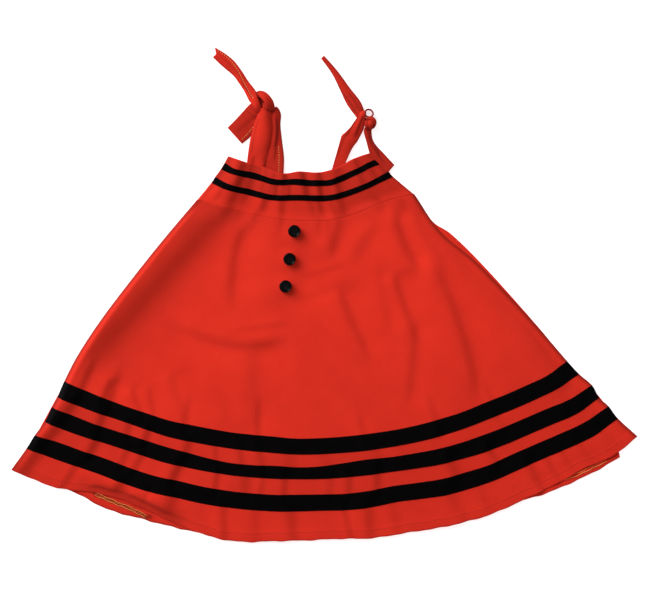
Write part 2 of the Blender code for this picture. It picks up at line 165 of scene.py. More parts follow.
SKIRT_LINES = (
    Line("seam", -168.3, 126.3, 120.3, 133.7, SEAM_FALLS, 0.0),
    Line("waist", -214.0, 72.3, 155.7, 83.0, (24, 40, 46, 42, 22), 0.0),
    Line("hip", -256.6, 19.0, 203.0, 43.0, (32, 51, 58, 54, 31), 0.0),
    Line("thigh", -296.9, -34.3, 252.3, -7.7, (38, 62, 70, 65, 40), 0.0),
    Line("knee", -327.7, -81.0, 295.0, -55.0, (44, 72, 82, 75, 48), 0.0),
    Line("band_1_top", -345.7, -115.7, 324.3, -89.0,
         (12.8, 25.3, 36.9, 47.2, 57.3, 64.2, 70.7, 76.6, 80.8, 84.4, 88.1, 88.9, 88.5,
          86.9, 84.4, 81, 75.9, 69.3, 61.6, 51.3, 41.4, 30.2, 17.9), 0.0),
    Line("band_1_end", -355.0, -137.0, 340.3, -106.3,
         (12.8, 24.7, 35.4, 46.9, 57.9, 65.8, 72.4, 78.2, 82.9, 86.7, 90, 91, 90.6,
          89.4, 86.7, 83, 77.9, 71.1, 62.5, 52.4, 42.1, 30.6, 17.6), 0.0),
    Line("band_2_top", -362.3, -150.3, 357.3, -121.0,
         (12.5, 25.4, 36.2, 46.9, 57.8, 67.1, 76.4, 83.7, 87.7, 89.9, 93.1, 92.7, 89.7,
          86.2, 84.5, 81.1, 76.8, 70.4, 61.6, 51.7, 40.2, 28.6, 17.2), 0.0),
    Line("band_2_end", -371.7, -169.9, 367.0, -137.9,
         (13.5, 25.2, 35.9, 47.5, 58.7, 67.5, 74.8, 81, 85.5, 88.7, 90.6, 91.6, 91,
          89.1, 86.3, 83.3, 79.7, 73.5, 65.8, 55.7, 43.8, 32, 20), 0.0),
    Line("band_3_top", -385.0, -187.7, 379.4, -149.0,
         (10.9, 23.8, 36.1, 49.8, 61.6, 70.1, 79.1, 86.1, 91.3, 95, 96.6, 97.8, 98.5,
          96.1, 91.4, 88.8, 85.3, 78.4, 69.8, 57, 44.8, 32.7, 19.4), 0.0),
    Line("band_3_end", -396.1, -205.4, 391.9, -165.4,
         (13.7, 26.6, 39.2, 53.6, 65.7, 74.7, 83.9, 91, 96.3, 100.1, 102, 102.6, 103.5,
          101.5, 96.3, 93.6, 90.5, 83.3, 73.9, 61, 48, 35.8, 21.8), 0.0),
    Line("hem", -416.3, -234.3, 418.1, -189.3,
         (16.4, 29, 35, 44, 60.2, 78, 94.1, 107, 112.2, 114, 114.4, 115, 116.1, 116, 113, 108.8,
          104.4, 97.4, 85.2, 71.5, 55.7, 38.5, 25.4), 0.0),
)

BACK_LINES = (
    Line("seam", -167.0, 125.3, 118.5, 132.7, SEAM_FALLS, 0.0),
    Line("notch", -191.7, 96.3, 145.0, 97.3, (19, 33, 40, 36, 20), 0.0),
    Line("waist", -212.0, 72.3, 171.4, 79.0, (26, 42, 52, 46, 28), 0.0),
    Line("hip", -254.4, 19.0, 218.3, 32.3, (36, 55, 66, 60, 37), 0.0),
    Line("knee", -308.9, -57.0, 288.2, -46.3, (44, 68, 80, 74, 45), 0.0),
    Line("band_1", -349.0, -125.0, 328.7, -96.3, (47, 78, 90, 82, 52), 0.0),
    Line("band_3", -389.0, -197.0, 379.0, -153.0, (50, 87, 98, 89, 58), 0.0),
    Line("hem", -413.0, -233.0, 394.9, -217.4,
         (27, 59.5, 78.2, 95.6, 100, 99, 99, 89, 77.5, 56.6, 34.5), 0.0),
)

# Grid steps of each stretch between lines, or the places of its rows where they crowd at an edge
FROM_SEAM = (0, 0.006, 0.014, 0.025, 0.04, 0.06, 0.09, *np.arange(0.13, 0.99, 0.043))
TO_HEM = (
    0, 0.12, 0.24, 0.34, 0.43, 0.51, 0.58, 0.64, 0.69, 0.74, 0.79, 0.84, 0.89, 0.935, 0.965, 0.985,
)
TO_SEAM = (0, 0.1, 0.2, 0.3, 0.4, 0.5, 0.6, 0.7, 0.79, 0.87, 0.93, 0.97)
FROM_NECK = (0, 0.04, 0.1, 0.18, 0.3, 0.45, 0.6, 0.75, 0.88)
SKIRT_STEPS = (FROM_SEAM, 26, 24, 20, 15, 9, 6, 9, 8, 9, TO_HEM)
YOKE_STEPS = (FROM_NECK, 7, 8, 6, TO_SEAM)
BACK_STEPS = (10, 8, 18, 24, 22, 24, (*np.arange(0, 0.6, 0.1), *TO_HEM[6:]))
SKIRT_COLUMNS = 250
YOKE_COLUMNS = 220
BACK_COLUMNS = 200

# A crease: a curve from its start through its middle to its end. The cloth falls by the drop
# towards the left of someone going along it, over the width, and recovers gently over the reach.
Crease = namedtuple("Crease", "name start_x start_y mid_x mid_y end_x end_y drop width reach")

CREASES = (
    Crease("broad fall along the left side", -106, 142, -217, 18, -357, -138, 8.8, 15.5, 110),
    Crease("hook over the top band", -281, -109, -289, -129, -300, -157, 3.0, 4, 14),
    Crease("curved line left of the buttons", -82, 116, -116, 63, -121, -32, 3.4, 7, 26),
    Crease("broad fall at the buttons", -42, 110, -54, 43, -53, -32, 4.2, 16, 46),
    Crease("drag under the buttons", -37, -56, -128, -66, -221, -25, 3.8, 7, 26),
    Crease("thin line over the drag", -37, -37, -88, -45, -136, -49, 1.0, 4, 12),
    Crease("upper line right of the buttons", 35, 43, -2, 30, -37, 22, 0.8, 4, 10),
    Crease("lower line right of the buttons", 28, 16, -5, 2, -45, -8, 0.8, 6, 12),
    Crease("wedge under the yoke", 23, 124, 15, 88, 10, 40, 4.4, 7.5, 30),
    Crease("fall across the wedge", 70, 102, 55, 71, 35, 40, 2.0, 9, 20),
    Crease("slanting crease", 18, 19, 36, -34, 68, -98, 3.6, 6, 24),
    Crease("line from the yoke's right", 92, 131, 104, 75, 134, 22, 5.0, 6.5, 26),
    Crease("slanting line right of it", 116, 118, 139, 72, 174, 19, 3.2, 7, 22),
    Crease("fall at the right shoulder", 118, 136, 152, 83, 206, 19, 3.2, 7, 20),
    Crease("soft fall right of the middle", 70, 48, 80, -8, 92, -58, 1.6, 8, 18),
    Crease("upright crease, upper part", 92, 32, 104, -8, 127, -72, 3.6, 5.5, 22),
    Crease("upright crease, lower part", 123, -24, 119, -82, 111, -160, 1.9, 6, 20),
    Crease("long crease by the right side", 134, 59, 180, -41, 208, -160, 4.8, 6.8, 38),
    Crease("fall along the right side", 107, 134, 228, -9, 358, -157, 4.2, 11, 32),
    Crease("broad upright fall", -98, -56, -94, -125, -93, -192, 3.3, 12, 44),
    Crease("arc by the broad fall", -160, -101, -136, -138, -130, -186, 1.2, 8, 18),
    Crease("arc over the top band", -204, -101, -197, -130, -180, -177, 2.1, 7, 20),
    Crease("short crease over the top band", -258, -122, -249, -144, -236, -173, 2.2, 4, 12),
    Crease("next short crease", -233, -118, -230, -144, -221, -181, 1.6, 4, 12),
    Crease("rolled hem over the gap", -160, -312, -248, -270, -344, -240, 6.0, 7, 30),
    Crease("shade at the gap's left", -268, -269, -293, -258, -318, -259, 3.4, 3, 10),
    Crease("shade at the gap's middle", -229, -283, -246, -273, -262, -268, 2.8, 3, 9),
    Crease("shade at the gap's right", -188, -304, -218, -287, -240, -277, 4.6, 4, 12),
)

# A pucker along a panel's length: where it starts and ends across the panel, from left 0 to right
# 1, its first and last line, how far the cloth falls to the right, over what width, and its reach.
Pucker = namedtuple("Pucker", "place end_place first last drop width reach")

HEM_PUCKERS = [
    Pucker(*row)
    for row in (
        # over the top band
        (0.036, 0.034, 3.7, 6.2, 2.6, 4, 10),
        (0.088, 0.096, 3.7, 6.2, 3.2, 5, 16),
        (0.240, 0.240, 3.9, 6.0, 1.6, 5, 12),
        (0.386, 0.384, 3.6, 6.0, 1.6, 4, 11),
        (0.594, 0.598, 4.0, 6.0, 1.4, 4, 12),
        (0.742, 0.738, 4.0, 6.2, 2.6, 5, 16),
        (0.852, 0.848, 4.2, 6.2, 2.0, 4, 11),
        (0.982, 0.980, 3.2, 6.4, 3.6, 6, 20),
        # between the top and the middle band
        (0.032, 0.026, 5.2, 7.9, 4.0, 6, 18),
        (0.087, 0.090, 5.3, 7.9, 3.4, 5, 15),
        (0.136, 0.142, 5.3, 7.7, 2.0, 4, 10),
        (0.176, 0.172, 5.4, 7.8, 2.8, 4, 11),
        (0.254, 0.246, 5.3, 7.9, 2.8, 5, 17),
        (0.302, 0.306, 5.4, 7.6, 1.4, 4, 10),
        (0.350, 0.352, 5.4, 7.7, 1.8, 4, 11),
        (0.386, 0.392, 5.3, 7.8, 2.2, 5, 14),
        (0.446, 0.440, 5.2, 7.8, 2.0, 9, 22),
        (0.508, 0.512, 5.3, 7.7, 1.8, 8, 18),
        (0.610, 0.602, 5.2, 7.9, 2.4, 7, 20),
        (0.652, 0.656, 5.4, 7.7, 1.5, 6, 14),
        (0.730, 0.744, 5.3, 7.9, 2.0, 5, 16),
        (0.842, 0.832, 5.4, 7.7, 1.6, 4, 11),
        (0.954, 0.948, 5.3, 7.8, 2.0, 4, 11),
        (0.978, 0.976, 5.2, 7.9, 3.2, 5, 14),
        # between the middle and the lowest band
        (0.024, 0.022, 7.1, 9.9, 4.0, 7, 18),
        (0.092, 0.098, 7.2, 9.9, 3.6, 5, 15),
        (0.148, 0.152, 7.3, 9.7, 1.5, 4, 10),
        (0.177, 0.172, 7.4, 9.7, 1.7, 4, 10),
        (0.243, 0.238, 7.1, 9.9, 4.4, 5.5, 20),
        (0.310, 0.316, 7.3, 9.8, 2.0, 3.5, 11),
        (0.362, 0.368, 7.2, 9.8, 2.4, 8, 16),
        (0.396, 0.392, 7.4, 9.6, 1.2, 4, 9),
        (0.432, 0.436, 7.2, 9.8, 2.0, 4, 12),
        (0.517, 0.512, 7.3, 9.7, 1.2, 5, 12),
        (0.550, 0.546, 7.2, 9.8, 1.9, 4, 12),
        (0.602, 0.594, 7.1, 9.9, 2.7, 5, 16),
        (0.728, 0.738, 7.1, 9.9, 4.2, 6, 22),
        (0.800, 0.806, 7.2, 9.9, 4.2, 5, 16),
        (0.942, 0.950, 7.3, 9.7, 2.8, 4, 12),
        (0.977, 0.975, 7.1, 9.9, 3.4, 5, 14),
        # from the lowest band to the hem
        (0.021, 0.013, 9.1, 13.2, 4.6, 7, 20),
        (0.087, 0.074, 9.2, 12.4, 1.9, 4, 11),
        (0.164, 0.150, 9.2, 12.6, 3.0, 5, 16),
        (0.203, 0.208, 9.3, 11.4, 1.2, 4, 9),
        (0.250, 0.240, 9.1, 13.2, 5.0, 9, 26),
        (0.326, 0.356, 9.2, 12.9, 2.6, 5, 16),
        (0.384, 0.392, 9.3, 11.6, 1.1, 6, 14),
        (0.444, 0.458, 9.1, 13.0, 3.3, 7, 22),
        (0.534, 0.550, 9.2, 12.8, 1.9, 4, 10),
        (0.580, 0.568, 9.1, 13.0, 3.2, 7, 20),
        (0.620, 0.616, 9.2, 12.4, 1.3, 6, 14),
        (0.708, 0.742, 9.1, 12.9, 3.3, 7, 24),
        (0.762, 0.768, 9.3, 12.6, 1.5, 5, 12),
        (0.850, 0.850, 9.2, 12.8, 4.2, 4.5, 14),
        (0.878, 0.875, 9.4, 12.5, 2.6, 3, 9),
        (0.904, 0.900, 9.4, 12.3, 2.4, 3, 9),
        (0.934, 0.930, 9.3, 12.2, 2.2, 4, 10),
        (0.974, 0.971, 9.1, 12.8, 3.6, 6, 18),
    )
]

YOKE_PUCKERS = [
    Pucker(*row)
    for row in (
        # through the whole yoke
        (0.100, 0.152, -1.6, 7.0, 6.4, 7, 36),
        (0.180, 0.196, -1.6, 6.0, 3.4, 6, 14),
        (0.226, 0.226, -1.6, 2.4, 1.6, 4, 9),
        (0.330, 0.288, -1.2, 6.8, 2.2, 5, 12),
        (0.395, 0.386, -1.6, 6.6, 2.4, 5, 12),
        (0.500, 0.560, -1.6, 6.4, 3.2, 5, 16),
        (0.630, 0.578, -1.6, 6.8, 3.0, 5, 14),
        (0.668, 0.640, 0.0, 6.6, 1.6, 4, 9),
        (0.768, 0.676, -1.6, 6.8, 3.2, 6, 18),
        (0.888, 0.842, -1.6, 6.8, 2.8, 5, 16),
        (0.932, 0.932, -1.6, 6.8, 3.0, 6, 18),
        # over the upper ribbon
        (0.096, 0.098, -1.4, 1.9, 2.4, 5, 14),
        (0.160, 0.162, -1.4, 1.9, 1.2, 3, 8),
        (0.268, 0.266, -1.4, 1.9, 1.4, 3, 8),
        (0.390, 0.388, -1.4, 1.9, 2.4, 4, 10),
        (0.510, 0.514, -1.4, 1.9, 2.4, 4, 10),
        (0.634, 0.632, -1.4, 1.9, 2.6, 4, 10),
        (0.776, 0.774, -1.4, 1.9, 1.0, 4, 9),
        (0.880, 0.878, -1.4, 1.9, 2.4, 4, 10),
        (0.946, 0.948, -1.4, 1.9, 1.2, 4, 9),
        # between the ribbons
        (0.128, 0.124, 1.3, 3.7, 1.8, 4, 10),
        (0.262, 0.268, 1.3, 3.7, 1.6, 4, 10),
        (0.342, 0.346, 1.3, 3.7, 3.0, 4, 10),
        (0.424, 0.426, 1.3, 3.7, 1.6, 3, 8),
        (0.522, 0.520, 1.3, 3.7, 1.6, 4, 10),
        (0.612, 0.616, 1.3, 3.7, 3.2, 3.5, 10),
        (0.716, 0.714, 1.3, 3.7, 2.0, 4, 10),
        (0.852, 0.850, 1.3, 3.7, 1.2, 3, 8),
        (0.922, 0.926, 1.3, 3.7, 3.0, 4, 10),
        (0.984, 0.984, 1.3, 3.7, 1.4, 3, 8),
        # under the lower ribbon
        (0.062, 0.066, 3.4, 6.4, 1.6, 4, 10),
        (0.292, 0.284, 3.4, 6.4, 1.4, 4, 10),
        (0.588, 0.580, 3.4, 6.4, 1.4, 4, 9),
        (0.694, 0.690, 3.4, 6.4, 1.6, 4, 10),
        (0.866, 0.862, 3.4, 6.4, 1.4, 4, 9),
    )
]

# Where the yoke's seam takes the gathers of both panels: place, drop, width and reach
SEAM_GATHERS = (
    (0.148, 6.6, 9, 44),
    (0.198, 1.6, 6, 14),
    (0.272, 1.6, 5, 14),
    (0.388, 1.6, 5, 14),
    (0.560, 2.0, 5, 14),
    (0.600, 1.4, 5, 12),
    (0.652, 3.2, 7, 24),
    (0.840, 3.0, 6, 22),
    (0.932, 2.6, 6, 18),
)

# Shallow creases of the back, which nothing shows, so they are like the front's
BACK_CREASES = (
    Crease("long crease at the wearer's left", 84, 110, 150, 0, 260, -150, 0.8, 12, 40),
    Crease("long crease at the wearer's right", -110, 104, -200, 0, -290, -130, 0.8, 12, 40),
    Crease("middle crease", -20, 90, -34, 0, -10, -140, 0.6, 9, 26),
    Crease("short crease", 40, 40, 62, -30, 70, -120, 0.6, 8, 22),
    Crease("hem crease", -150, -150, -160, -220, -150, -300, 0.6, 8, 22),
    Crease("hem crease further on", 190, -120, 214, -190, 230, -260, 0.6, 8, 22),
)

# A place along a strap: its two edges with their heights, and how far its middle arches.
Station = namedtuple("Station", "left_x left_y left_z right_x right_y right_z arch")

STRAPS = {
    "strap_left_front": (
        Station(-103.0, 161.7, 3.0, -79.7, 157.7, 3.0, 0.0),
        Station(-102.3, 175.0, 3.0, -78.1, 171.0, 3.0, 0.2),
        Station(-100.6, 189.7, 3.2, -73.7, 187.0, 2.8, 1.6),
        Station(-97.9, 206.3, 3.0, -67.9, 204.3, 2.4, 3.6),
        Station(-93.0, 225.7, 3.4, -65.3, 223.0, 2.2, 4.4),
        Station(-88.4, 238.4, 5.0, -68.3, 240.0, 2.6, 4.2),
        Station(-87.6, 247.4, 6.0, -72.3, 248.0, 4.4, 2.8),
    ),
    "strap_left_back": (
        Station(-88.0, 157.7, 1.0, -54.3, 152.3, 2.6, 0.0),
        Station(-87.0, 171.0, 1.0, -53.3, 164.0, 2.6, 0.2),
        Station(-82.0, 188.0, 0.9, -52.9, 182.5, 1.8, 1.2),
        Station(-76.0, 205.0, 0.9, -55.4, 204.0, 1.0, 1.8),
        Station(-71.5, 223.0, 1.2, -57.6, 225.0, 0.9, 2.0),
        Station(-70.5, 237.0, 2.2, -56.9, 238.0, 1.2, 2.0),
        Station(-69.5, 244.5, 3.2, -59.0, 245.8, 1.8, 1.6),
        Station(-68.0, 248.0, 3.4, -62.6, 250.0, 2.4, 0.8),
    ),
    "tail_left_long": (
        Station(-147.7, 315.7, 1.0, -144.7, 329.0, 1.0, 0.8),
        Station(-135.7, 304.3, 1.0, -131.7, 321.0, 1.6, 1.4),
        Station(-121.0, 291.7, 1.0, -119.8, 311.2, 2.4, 1.6),
        Station(-114.3, 283.0, 1.2, -110.0, 298.5, 3.0, 1.8),
        Station(-106.3, 271.0, 2.2, -101.0, 284.5, 3.4, 2.2),
        Station(-99.8, 258.1, 5.0, -90.6, 270.6, 6.0, 2.4),
        Station(-96.0, 253.0, 7.4, -88.0, 262.6, 7.8, 2.0),
        Station(-93.0, 246.8, 8.2, -84.8, 254.0, 8.6, 1.8),
        Station(-89.8, 241.8, 6.4, -82.4, 246.8, 6.8, 1.4),
        Station(-87.0, 239.4, 3.4, -83.0, 241.8, 3.6, 0.8),
    ),
    "tail_left_short": (
        Station(-109.0, 200.3, 1.0, -128.3, 221.9, 1.6, 0.6),
        Station(-99.0, 208.6, 1.1, -118.3, 231.7, 3.0, 0.8),
        Station(-90.3, 217.7, 1.2, -107.7, 243.0, 4.4, 0.8),
        Station(-84.5, 225.5, 1.4, -98.6, 252.6, 5.4, 1.0),
        Station(-80.5, 233.0, 1.8, -91.6, 257.6, 5.4, 1.0),
    ),
    "strap_right_front": (
        Station(6.3, 151.0, 3.0, 25.7, 165.7, 3.0, 0.0),
        Station(9.7, 163.0, 3.0, 29.7, 176.3, 3.0, 0.2),
        Station(16.3, 185.7, 2.6, 37.7, 193.7, 2.0, 1.0),
        Station(21.6, 204.5, 3.0, 44.8, 203.6, 2.6, 1.4),
        Station(24.0, 211.6, 3.0, 48.2, 209.8, 3.0, 1.6),
        Station(28.6, 215.6, 3.6, 50.8, 214.6, 3.4, 1.8),
        Station(35.0, 222.0, 4.6, 53.6, 221.0, 4.0, 2.0),
        Station(40.3, 229.7, 4.4, 55.2, 230.7, 5.8, 2.4),
        Station(45.3, 236.7, 5.4, 56.4, 238.2, 6.2, 2.2),
        Station(48.3, 243.2, 4.4, 56.4, 244.2, 5.2, 1.2),
    ),
    "strap_right_back": (
        Station(54.3, 222.0, 4.4, 65.7, 222.2, 2.4, 1.2),
        Station(53.3, 216.0, 4.4, 63.7, 216.2, 2.0, 1.2),
        Station(56.3, 204.3, 4.0, 66.7, 203.0, 1.2, 1.2),
        Station(60.3, 189.7, 3.8, 79.3, 188.4, 1.4, 0.6),
        Station(66.3, 173.7, 3.0, 87.7, 179.3, 1.4, 0.4),
        Station(83.7, 159.8, 2.6, 94.3, 172.3, 1.4, 0.2),
    ),
    "tail_right": (
        Station(-3.7, 314.3, 1.0, 0.3, 318.3, 1.2, 0.5),
        Station(11.0, 293.7, 1.0, 17.7, 298.3, 1.8, 1.0),
        Station(21.7, 272.3, 1.0, 33.7, 276.3, 2.4, 1.8),
        Station(28.3, 257.7, 1.2, 44.3, 263.0, 2.6, 2.0),
        Station(34.3, 247.7, 2.0, 50.0, 254.5, 2.8, 2.0),
        Station(43.9, 235.1, 2.4, 54.6, 242.6, 3.2, 1.8),
    ),
}

STRAP_CREASES = {
    "strap_left_front": (
        Crease("long crease on the right", -78, 250, -70, 216, -80, 180, 2.6, 3.5, 10),
        Crease("faint line on the left", -84, 240, -92, 214, -98, 176, 0.9, 3, 7),
        Crease("tuck at the yoke", -79, 188, -80, 174, -85, 158, 1.2, 3, 7),
        Crease("tuck on the left at the yoke", -92, 186, -95, 174, -96, 158, 1.0, 3, 7),
    ),
    "strap_left_back": (
        Crease("crease down the middle", -63, 244, -63, 206, -67, 172, 1.2, 2.2, 7),
        Crease("hollow by the front strap", -66, 238, -62, 216, -68, 190, 1.2, 1.8, 6),
    ),
    "tail_left_long": (
        Crease("crease beside the stitches", -138, 316, -116, 296, -96, 262, 1.0, 3, 8),
        Crease("fold into the knot", -112, 284, -102, 272, -92, 256, 1.0, 1.6, 5),
    ),
    "tail_left_short": (
        Crease("dent by the knot", -84, 244, -102, 228, -122, 214, 1.0, 5, 12),
        Crease("shade under the knot", -88, 232, -98, 240, -106, 250, 2.2, 3.5, 9),
    ),
    "strap_right_front": (
        Crease("turned edge", 30, 216, 20, 192, 9, 164, 1.2, 3, 8),
        Crease("crease to the corner", 52, 244, 38, 224, 26, 206, 1.6, 2.2, 8),
        Crease("fold beside the knot", 53, 240, 47, 224, 40, 206, 1.2, 1.6, 6),
    ),
    "strap_right_back": (
        Crease("crease from the knot", 58, 222, 66, 196, 86, 170, 1.4, 2.5, 8),
        Crease("second crease", 63, 218, 68, 200, 76, 182, 1.0, 1.8, 5),
    ),
    "tail_right": (
        Crease("fold by the knot", 45, 238, 38, 251, 22, 274, 2.4, 1.2, 5),
        Crease("fold beside it", 49, 242, 43, 254, 31, 272, 1.8, 1.4, 5),
        Crease("soft line", 27, 266, 17, 283, 4, 304, 1.2, 1.8, 6),
    ),
}

# A place along a band of cloth wound round a knot: its middle, its half width and half thickness,
# and how far it rolls about its own way, in degrees.
Turn = namedtuple("Turn", "x y z half_width half_thickness roll")

KNOTS = {
    "knot_left": (
        # over the top and down to the back strap
        (
            Turn(-89.5, 264.0, 3.0, 3.4, 1.8, 0),
            Turn(-85.6, 266.4, 6.6, 4.4, 2.2, 8),
            Turn(-80.2, 264.6, 9.0, 5.2, 2.5, 16),
            Turn(-75.6, 260.0, 9.8, 5.7, 2.7, 20),
            Turn(-72.0, 254.2, 9.0, 5.8, 2.7, 18),
            Turn(-69.6, 248.0, 6.6, 5.0, 2.3, 12),
            Turn(-68.0, 242.0, 3.4, 3.6, 1.7, 4),
        ),
        # the lip that the front strap comes out of
        (
            Turn(-81.4, 254.6, 4.0, 2.2, 1.1, 0),
            Turn(-79.2, 251.0, 6.6, 3.1, 1.5, -6),
            Turn(-77.6, 246.0, 7.2, 3.5, 1.5, -8),
            Turn(-76.4, 240.4, 5.0, 2.9, 1.2, -4),
            Turn(-75.6, 236.6, 3.0, 2.2, 1.0, 0),
        ),
        # what fills the middle
        (
            Turn(-94, 260, 2.0, 5.0, 1.6, 0),
            Turn(-87, 257.5, 2.0, 8.0, 1.6, 0),
            Turn(-79, 253, 2.4, 9.0, 2.2, 0),
            Turn(-71, 248, 2.2, 6.5, 2.0, 0),
        ),
    ),
    "knot_right": (
        # over the top and down the right side
        (
            Turn(55.5, 231.6, 3.0, 2.2, 1.2, 0),
            Turn(59.4, 233.8, 6.4, 2.5, 1.5, 6),
            Turn(64.4, 233.4, 8.0, 2.8, 1.7, 12),
            Turn(67.4, 229.4, 7.8, 2.9, 1.7, 14),
            Turn(66.4, 224.4, 6.6, 2.8, 1.6, 10),
            Turn(62.6, 220.4, 3.6, 2.3, 1.3, 4),
        ),
        # down the left side
        (
            Turn(56.6, 232.4, 3.4, 2.3, 1.3, 0),
            Turn(57.2, 228.6, 6.8, 2.9, 1.7, -4),
            Turn(57.6, 224.0, 7.4, 3.1, 1.8, -6),
            Turn(58.4, 219.8, 5.0, 2.7, 1.5, -4),
            Turn(59.6, 217.2, 2.6, 2.0, 1.2, 0),
        ),
        # the middle turn, which lies highest
        (
            Turn(59.6, 231.6, 5.2, 2.0, 1.2, 0),
            Turn(61.8, 228.6, 8.8, 2.8, 1.8, 4),
            Turn(62.8, 224.8, 9.4, 3.0, 1.9, 0),
            Turn(61.8, 220.8, 6.6, 2.4, 1.4, -4),
            Turn(60.6, 218.2, 3.2, 1.8, 1.1, 0),
        ),
        # what fills the middle
        (
            Turn(57, 231, 2.4, 3.6, 2.0, 0),
            Turn(62, 226, 3.2, 5.4, 2.8, 0),
            Turn(66, 221, 2.4, 3.6, 2.0, 0),
        ),
    ),
}

# A band of a knot: its rings from one turn to the next, the points of a ring, how far they are
# pleated, and the painted shade at its very bottom, with the power by which that goes with the
# depth
KNOT_RINGS, KNOT_SIDES, KNOT_PLEATS = 10, 26, 0.05
KNOT_DEEP_SHADE, KNOT_DEEP_POWER = 1.3, 1.3

# The loop is strap tape that stands on its edge: its middle, radius, half thickness and half
# height, how uneven the circle is, how many points it has round the circle and round the tape, and
# the power that makes the tape's section square.
LOOP = {
    "x": 60.2, "y": 240.9, "radius": 5.3, "wall": 1.1, "half_height": 3.7, "uneven": 0.05,
    "turns": 48, "sides": 12, "squareness": 0.4,
}

# Rows of a strap from one station to the next, and the points across it
STRAP_ROWS, STRAP_COLUMNS = 11, 23

# Stitched lines along straps: from where to where along it, and how far in from its left edge
STRAP_STITCHES = {
    "tail_left_long": (0.033, 0.66, (0.86, 0.84, 0.74, 0.62, 0.47, 0.43, 0.50)),
    "tail_left_short": (0.07, 0.54, (0.15, 0.18, 0.21)),
    "strap_left_back": (0.085, 0.39, (0.815, 0.80, 0.775, 0.77)),
}

# Their thread against the dress's own: its thickness, the length of a stitch, and how much of
# that length is thread
STRAP_THREAD, STRAP_STITCH, STRAP_STITCH_SHARE = 1.25, 1.15, 0.66

# How deep the fishtail cut into a free end is, where it is deepest and how far it reaches in half
# breadths of the strap, and in how many rows it ends
FISHTAILS = {"tail_left_long": 3.4}
FISHTAIL_PLACE, FISHTAIL_SPREAD, FISHTAIL_ROWS = 0.95, 0.85, 10

# Overlocked edge of the hem's allowance where the front leaves it bare: how far its threads reach
# to each side, how much painted shade they lay on the cloth under them, each thread's place within
# that reach and its size, and the middle line.
Overlock = namedtuple("Overlock", "name reach shade threads route")

OVERLOCKS = (
    Overlock(
        "overlock_left", 2.4, 0.9, ((0.85, 1.3), (0.05, 0.5), (-0.7, 1.4)),
        ((-305, -266), (-292, -271.5), (-275, -279), (-258, -285.5), (-245, -292), (-236, -297)),
    ),
    Overlock(
        "overlock_right", 3.6, 0.15, ((0.8, 0.8), (0.0, 1.3)),
        ((312, -248.5), (325, -246), (337, -242), (349, -236.5), (362, -230), (378, -222.5)),
    ),
)

# The overlocking's threads: the step between their points, the length of a loop, how uneven the
# loops are and how fast that changes, how far a thread wanders and how fast that changes, for the
# first one and more for each further one, how far it rises in a loop, and the gap between threads
OVERLOCK_STEP = 0.33
LOOP_LENGTH, LOOP_UNEVEN, LOOP_CHANGE = 5.2, 0.35, 0.23
WANDER, WANDER_CHANGE, WANDER_GAIN = 0.36, 0.31, 0.07
THREAD_RISE, THREAD_GAP = 0.14, 0.06

# The mouth where the front lifts off the back at the end of the left gap: its middle, its half
# sizes and how dark the painted shadow in it is
GAP_MOUTH = (-233.5, -296.0)
GAP_MOUTH_SIZE = (5.5, 2.6)
GAP_MOUTH_SHADOW = 1.2

# A button's profile from its middle underneath to its middle on top, as shares of its radius and
# millimetres: heights of the underside, then falls from the top of the rim and from the dish. The
# rim's slope has its fall as a share of the rim's height.
BUTTON_UNDERSIDE = (
    (0.02, 0.0), (0.50, 0.0), (0.84, 0.0), (0.90, 0.06), (0.965, 0.25), (0.995, 0.55), (1.0, 0.9),
)
BUTTON_RIM = (
    (0.998, 1.1), (0.985, 0.65), (0.955, 0.25), (0.915, 0.05), (0.88, 0), (0.84, 0.06), (0.80, 0.3),
)
RIM_SLOPE = (0.765, 0.8)
BUTTON_DISH = (
    (0.73, 0), (0.66, 0.06), (0.58, 0.1), (0.50, 0.12), (0.44, 0.13), (0.38, 0.14), (0.32, 0.14),
    (0.26, 0.14), (0.20, 0.14), (0.14, 0.13), (0.08, 0.12), (0.02, 0.12),
)

# The four holes of a button: how far out as a share of its radius, how deep, and how far they are
# turned, in radians, with what each further button is turned on by; and the points round a button
HOLE_PLACE, HOLE_DEPTH, HOLE_TURN, BUTTON_TURN = 0.26, 0.9, 0.6, 0.5
BUTTON_SIDES = 72

# How much painted shade darkens the cloth, from 0 to 1, and over what length in millimetres or
# stretch between lines: along a side edge, over the skirt's left, under the yoke, on the hem (which
# loses a share of it at the right) and at the left gap
EDGE_SHADE, EDGE_SHADE_REACH = 0.95, 4.2
LEFT_SHADE, LEFT_SHADE_REACH = 0.22, 70.0
TOP_SHADE, SHADE_STRETCH = 0.14, 0.6
HEM_SHADE, HEM_SHADE_LOSS, GAP_SHADE = 0.10, 0.8, 0.34

# What the painted shade gains from a line on, between the bands and below them, where a gain under
# 0 lightens, and how that fades: the share that it loses to the right, where across the panel that
# begins and over how much of it
BAND_SHADE = ((5.6, 0.17), (7.6, -0.06), (9.6, -0.09))
BAND_SHADE_LOSS, BAND_SHADE_START, BAND_SHADE_SPAN = 0.85, 0.55, 0.3

# Where the left gap begins and ends across the panel, and over how much it blurs
GAP_START, GAP_END, GAP_BLUR = 0.09, 0.25, 0.05

# How much painted shade darkens the back: everywhere, at its hem's edge over what length, and the
# share that both lose at the right
BACK_SHADE, BACK_EDGE_SHADE, BACK_EDGE_REACH, BACK_SHADE_LOSS = 0.12, 0.45, 2.4, 0.9

# How much painted shade darkens the yoke: in its gathered casing, what that loses from a line on
# and over what stretch, at its side edges, and at its right from what line and place on
CASING_SHADE, CASING_LOSS, CASING_END, CASING_STRETCH = 0.42, 0.29, 3.2, 1.2
YOKE_EDGE_SHADE = 0.5
YOKE_RIGHT_SHADE, YOKE_RIGHT_LINE, YOKE_RIGHT_START, YOKE_RIGHT_SPAN = 0.12, 3.6, 0.5, 0.2
